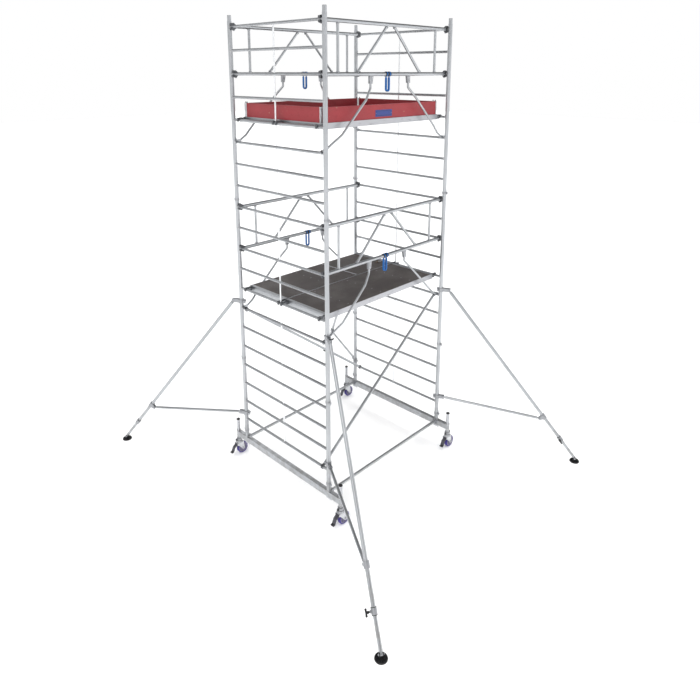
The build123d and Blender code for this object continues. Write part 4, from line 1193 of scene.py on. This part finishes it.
def loop_sleeve(level, side, middle_x, rail):
    """The black sleeve and rings that keep a loop in its place on the rail."""
    sleeve = Shape()
    for reach, width in ((0.0, 0.024), (0.0355, 0.009), (-0.0355, 0.009)):
        sleeve.band(0.0203, 0.0250, width, (middle_x + reach, rail.middle.y, rail.middle.z), X,
                    black(), 36)
    sleeve.piece(f"loop_sleeve_{level}_{side}", TOWER)


def release_loop(level, side, rail):
    """The blue loop, with a wide strap moulded over it and ridges to pull by."""
    node = f"release_loop_{level}_{side}"
    blue = finish(moulded, tuple(colours().loop), "loop", 0.26, 420.0)
    dress(node, blue)
    low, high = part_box(node)
    middle_x = (low.x + high.x) / 2
    loop_sleeve(level, side, middle_x, rail)
    strap_r, ridge_pitch, flat = 0.0065, 0.0052, 0.9
    half = (high.x - low.x) / 2 - strap_r
    bend = low.z + strap_r + half
    start, waist = rail.low.z - 0.014, (rail.low.z + bend) / 2
    path = [(-half, start), (-half, waist)]
    path += [(-half * cos(pi * k / 16), bend - half * sin(pi * k / 16)) for k in range(17)]
    path += [(half, waist), (half, start)]
    rings = []
    for k, (x, z) in enumerate(path):
        after, before = path[min(k + 1, len(path) - 1)], path[max(k - 1, 0)]
        run = Vector((after[0] - before[0], 0, after[1] - before[1])).normalized()
        out = Vector((-run.z, 0, run.x))
        centre = Vector((middle_x + x, rail.middle.y, z))
        rings.append([centre + out * (0.0074 * max(-flat, min(flat, 1.4 * c)) / flat)
                      + Vector((0, 0.0130 * s, 0)) for c, s in circle(20)])
    shape = Shape()
    shape.skin(rings, blue)
    for k in range(-3, 4):
        dx = ridge_pitch * k
        shape.block((middle_x + dx, rail.middle.y, bend - sqrt(half ** 2 - dx ** 2)),
                    (0.0016, 0.0275, 0.0163), blue, soft=0.3)
    shape.piece(f"loop_ridges_{level}_{side}", node)


class MakeGuardRails(bpy.types.Operator):
    """Guard rails: tube finishes, claws with triggers, bracket bolts, plugs and pull loops"""
    bl_idname = "tower.make_guard_rails"
    bl_label = "Guard rails"

    def execute(self, context):
        sizes = context.scene.tower_sizes
        shape = Shape()
        for level, side in [(level, side) for level in LEVELS for side in SIDES]:
            node = f"guard_rail_{level}_{side}"
            dress(node, finish(drawn_tube, Z), (is_long_rail, finish(drawn_tube, X)),
                  (is_claw, dark_cast()), (is_leg_bracket, grey_cast()),
                  (is_bent_leg, finish(drawn_tube, (1, 0, 1))))
            found = solids(node)
            rails = sorted(filter(is_long_rail, found), key=lambda s: s.middle.z)
            for claw in filter(is_claw, found):
                claw_trigger(shape, claw)
            for bracket in filter(is_leg_bracket, found):
                bracket_bolts(shape, bracket, sizes.bolt)
            for stay in filter(is_stay, found):
                stay_rivets(shape, stay, (rails[0], rails[-1]), sizes.rivet)
            release_loop(level, side, rails[0])
        shape.piece("guard_rail_fittings", TOWER)
        return {"FINISHED"}


# ---- braces ------------------------------------------------------------------------------
class MakeBraces(bpy.types.Operator):
    """Diagonal braces: tube finish, dark claws and their catches"""
    bl_idname = "tower.make_braces"
    bl_label = "Braces"

    def execute(self, context):
        shape = Shape()
        node = "diagonal_braces"
        found = solids(node)
        tube = next(filter(is_long_rail, found))
        slope = tube.size.z / tube.size.x
        dress(node, dark_cast(), (lambda s: is_long_rail(s) and s.middle.y < 0,
                                  finish(drawn_tube, (1, 0, slope))),
              (is_long_rail, finish(drawn_tube, (1, 0, -slope))))
        for claw in [s for s in found if not is_long_rail(s)]:
            x, y, z = claw.middle
            for side in BOTH:
                shape.rivet((x - sign(x) * 0.010, y + side * 0.013, z), (0, side, 0), 0.005)
            shape.block((x, y, claw.low.z - 0.001), (0.026, 0.010, 0.007), steel(), soft=0.25)
        shape.piece("brace_catches", TOWER)
        return {"FINISHED"}


# ---- panel, registration and the run -----------------------------------------------------
makers = (MakeStage, MakeFrames, MakeChassis, MakeCastors, MakeOutriggers, MakeDecks, MakeToeBoards,
          MakeGuardRails, MakeBraces)


class TowerPanel(bpy.types.Panel):
    """The makers of the tower's looks, in their order"""
    bl_idname = "VIEW3D_PT_tower"
    bl_label = "Rolling tower"
    bl_space_type = "VIEW_3D"
    bl_region_type = "UI"
    bl_category = "Tower"

    def draw(self, context):
        for maker in makers:
            self.layout.operator(maker.bl_idname)
        for group in (context.scene.tower_sizes, context.scene.tower_colours):
            for name in group.__annotations__:
                self.layout.prop(group, name)


classes = (TowerSizes, TowerColours, *makers, TowerPanel)


def register():
    for each in classes:
        bpy.utils.register_class(each)
    bpy.types.Scene.tower_sizes = PointerProperty(type=TowerSizes)
    bpy.types.Scene.tower_colours = PointerProperty(type=TowerColours)


def unregister():
    del bpy.types.Scene.tower_colours
    del bpy.types.Scene.tower_sizes
    for each in reversed(classes):
        bpy.utils.unregister_class(each)


def main():
    register()
    for maker in makers:
        group, name = maker.bl_idname.split(".")
        getattr(getattr(bpy.ops, group), name)()


if __name__ == "__main__":
    main()
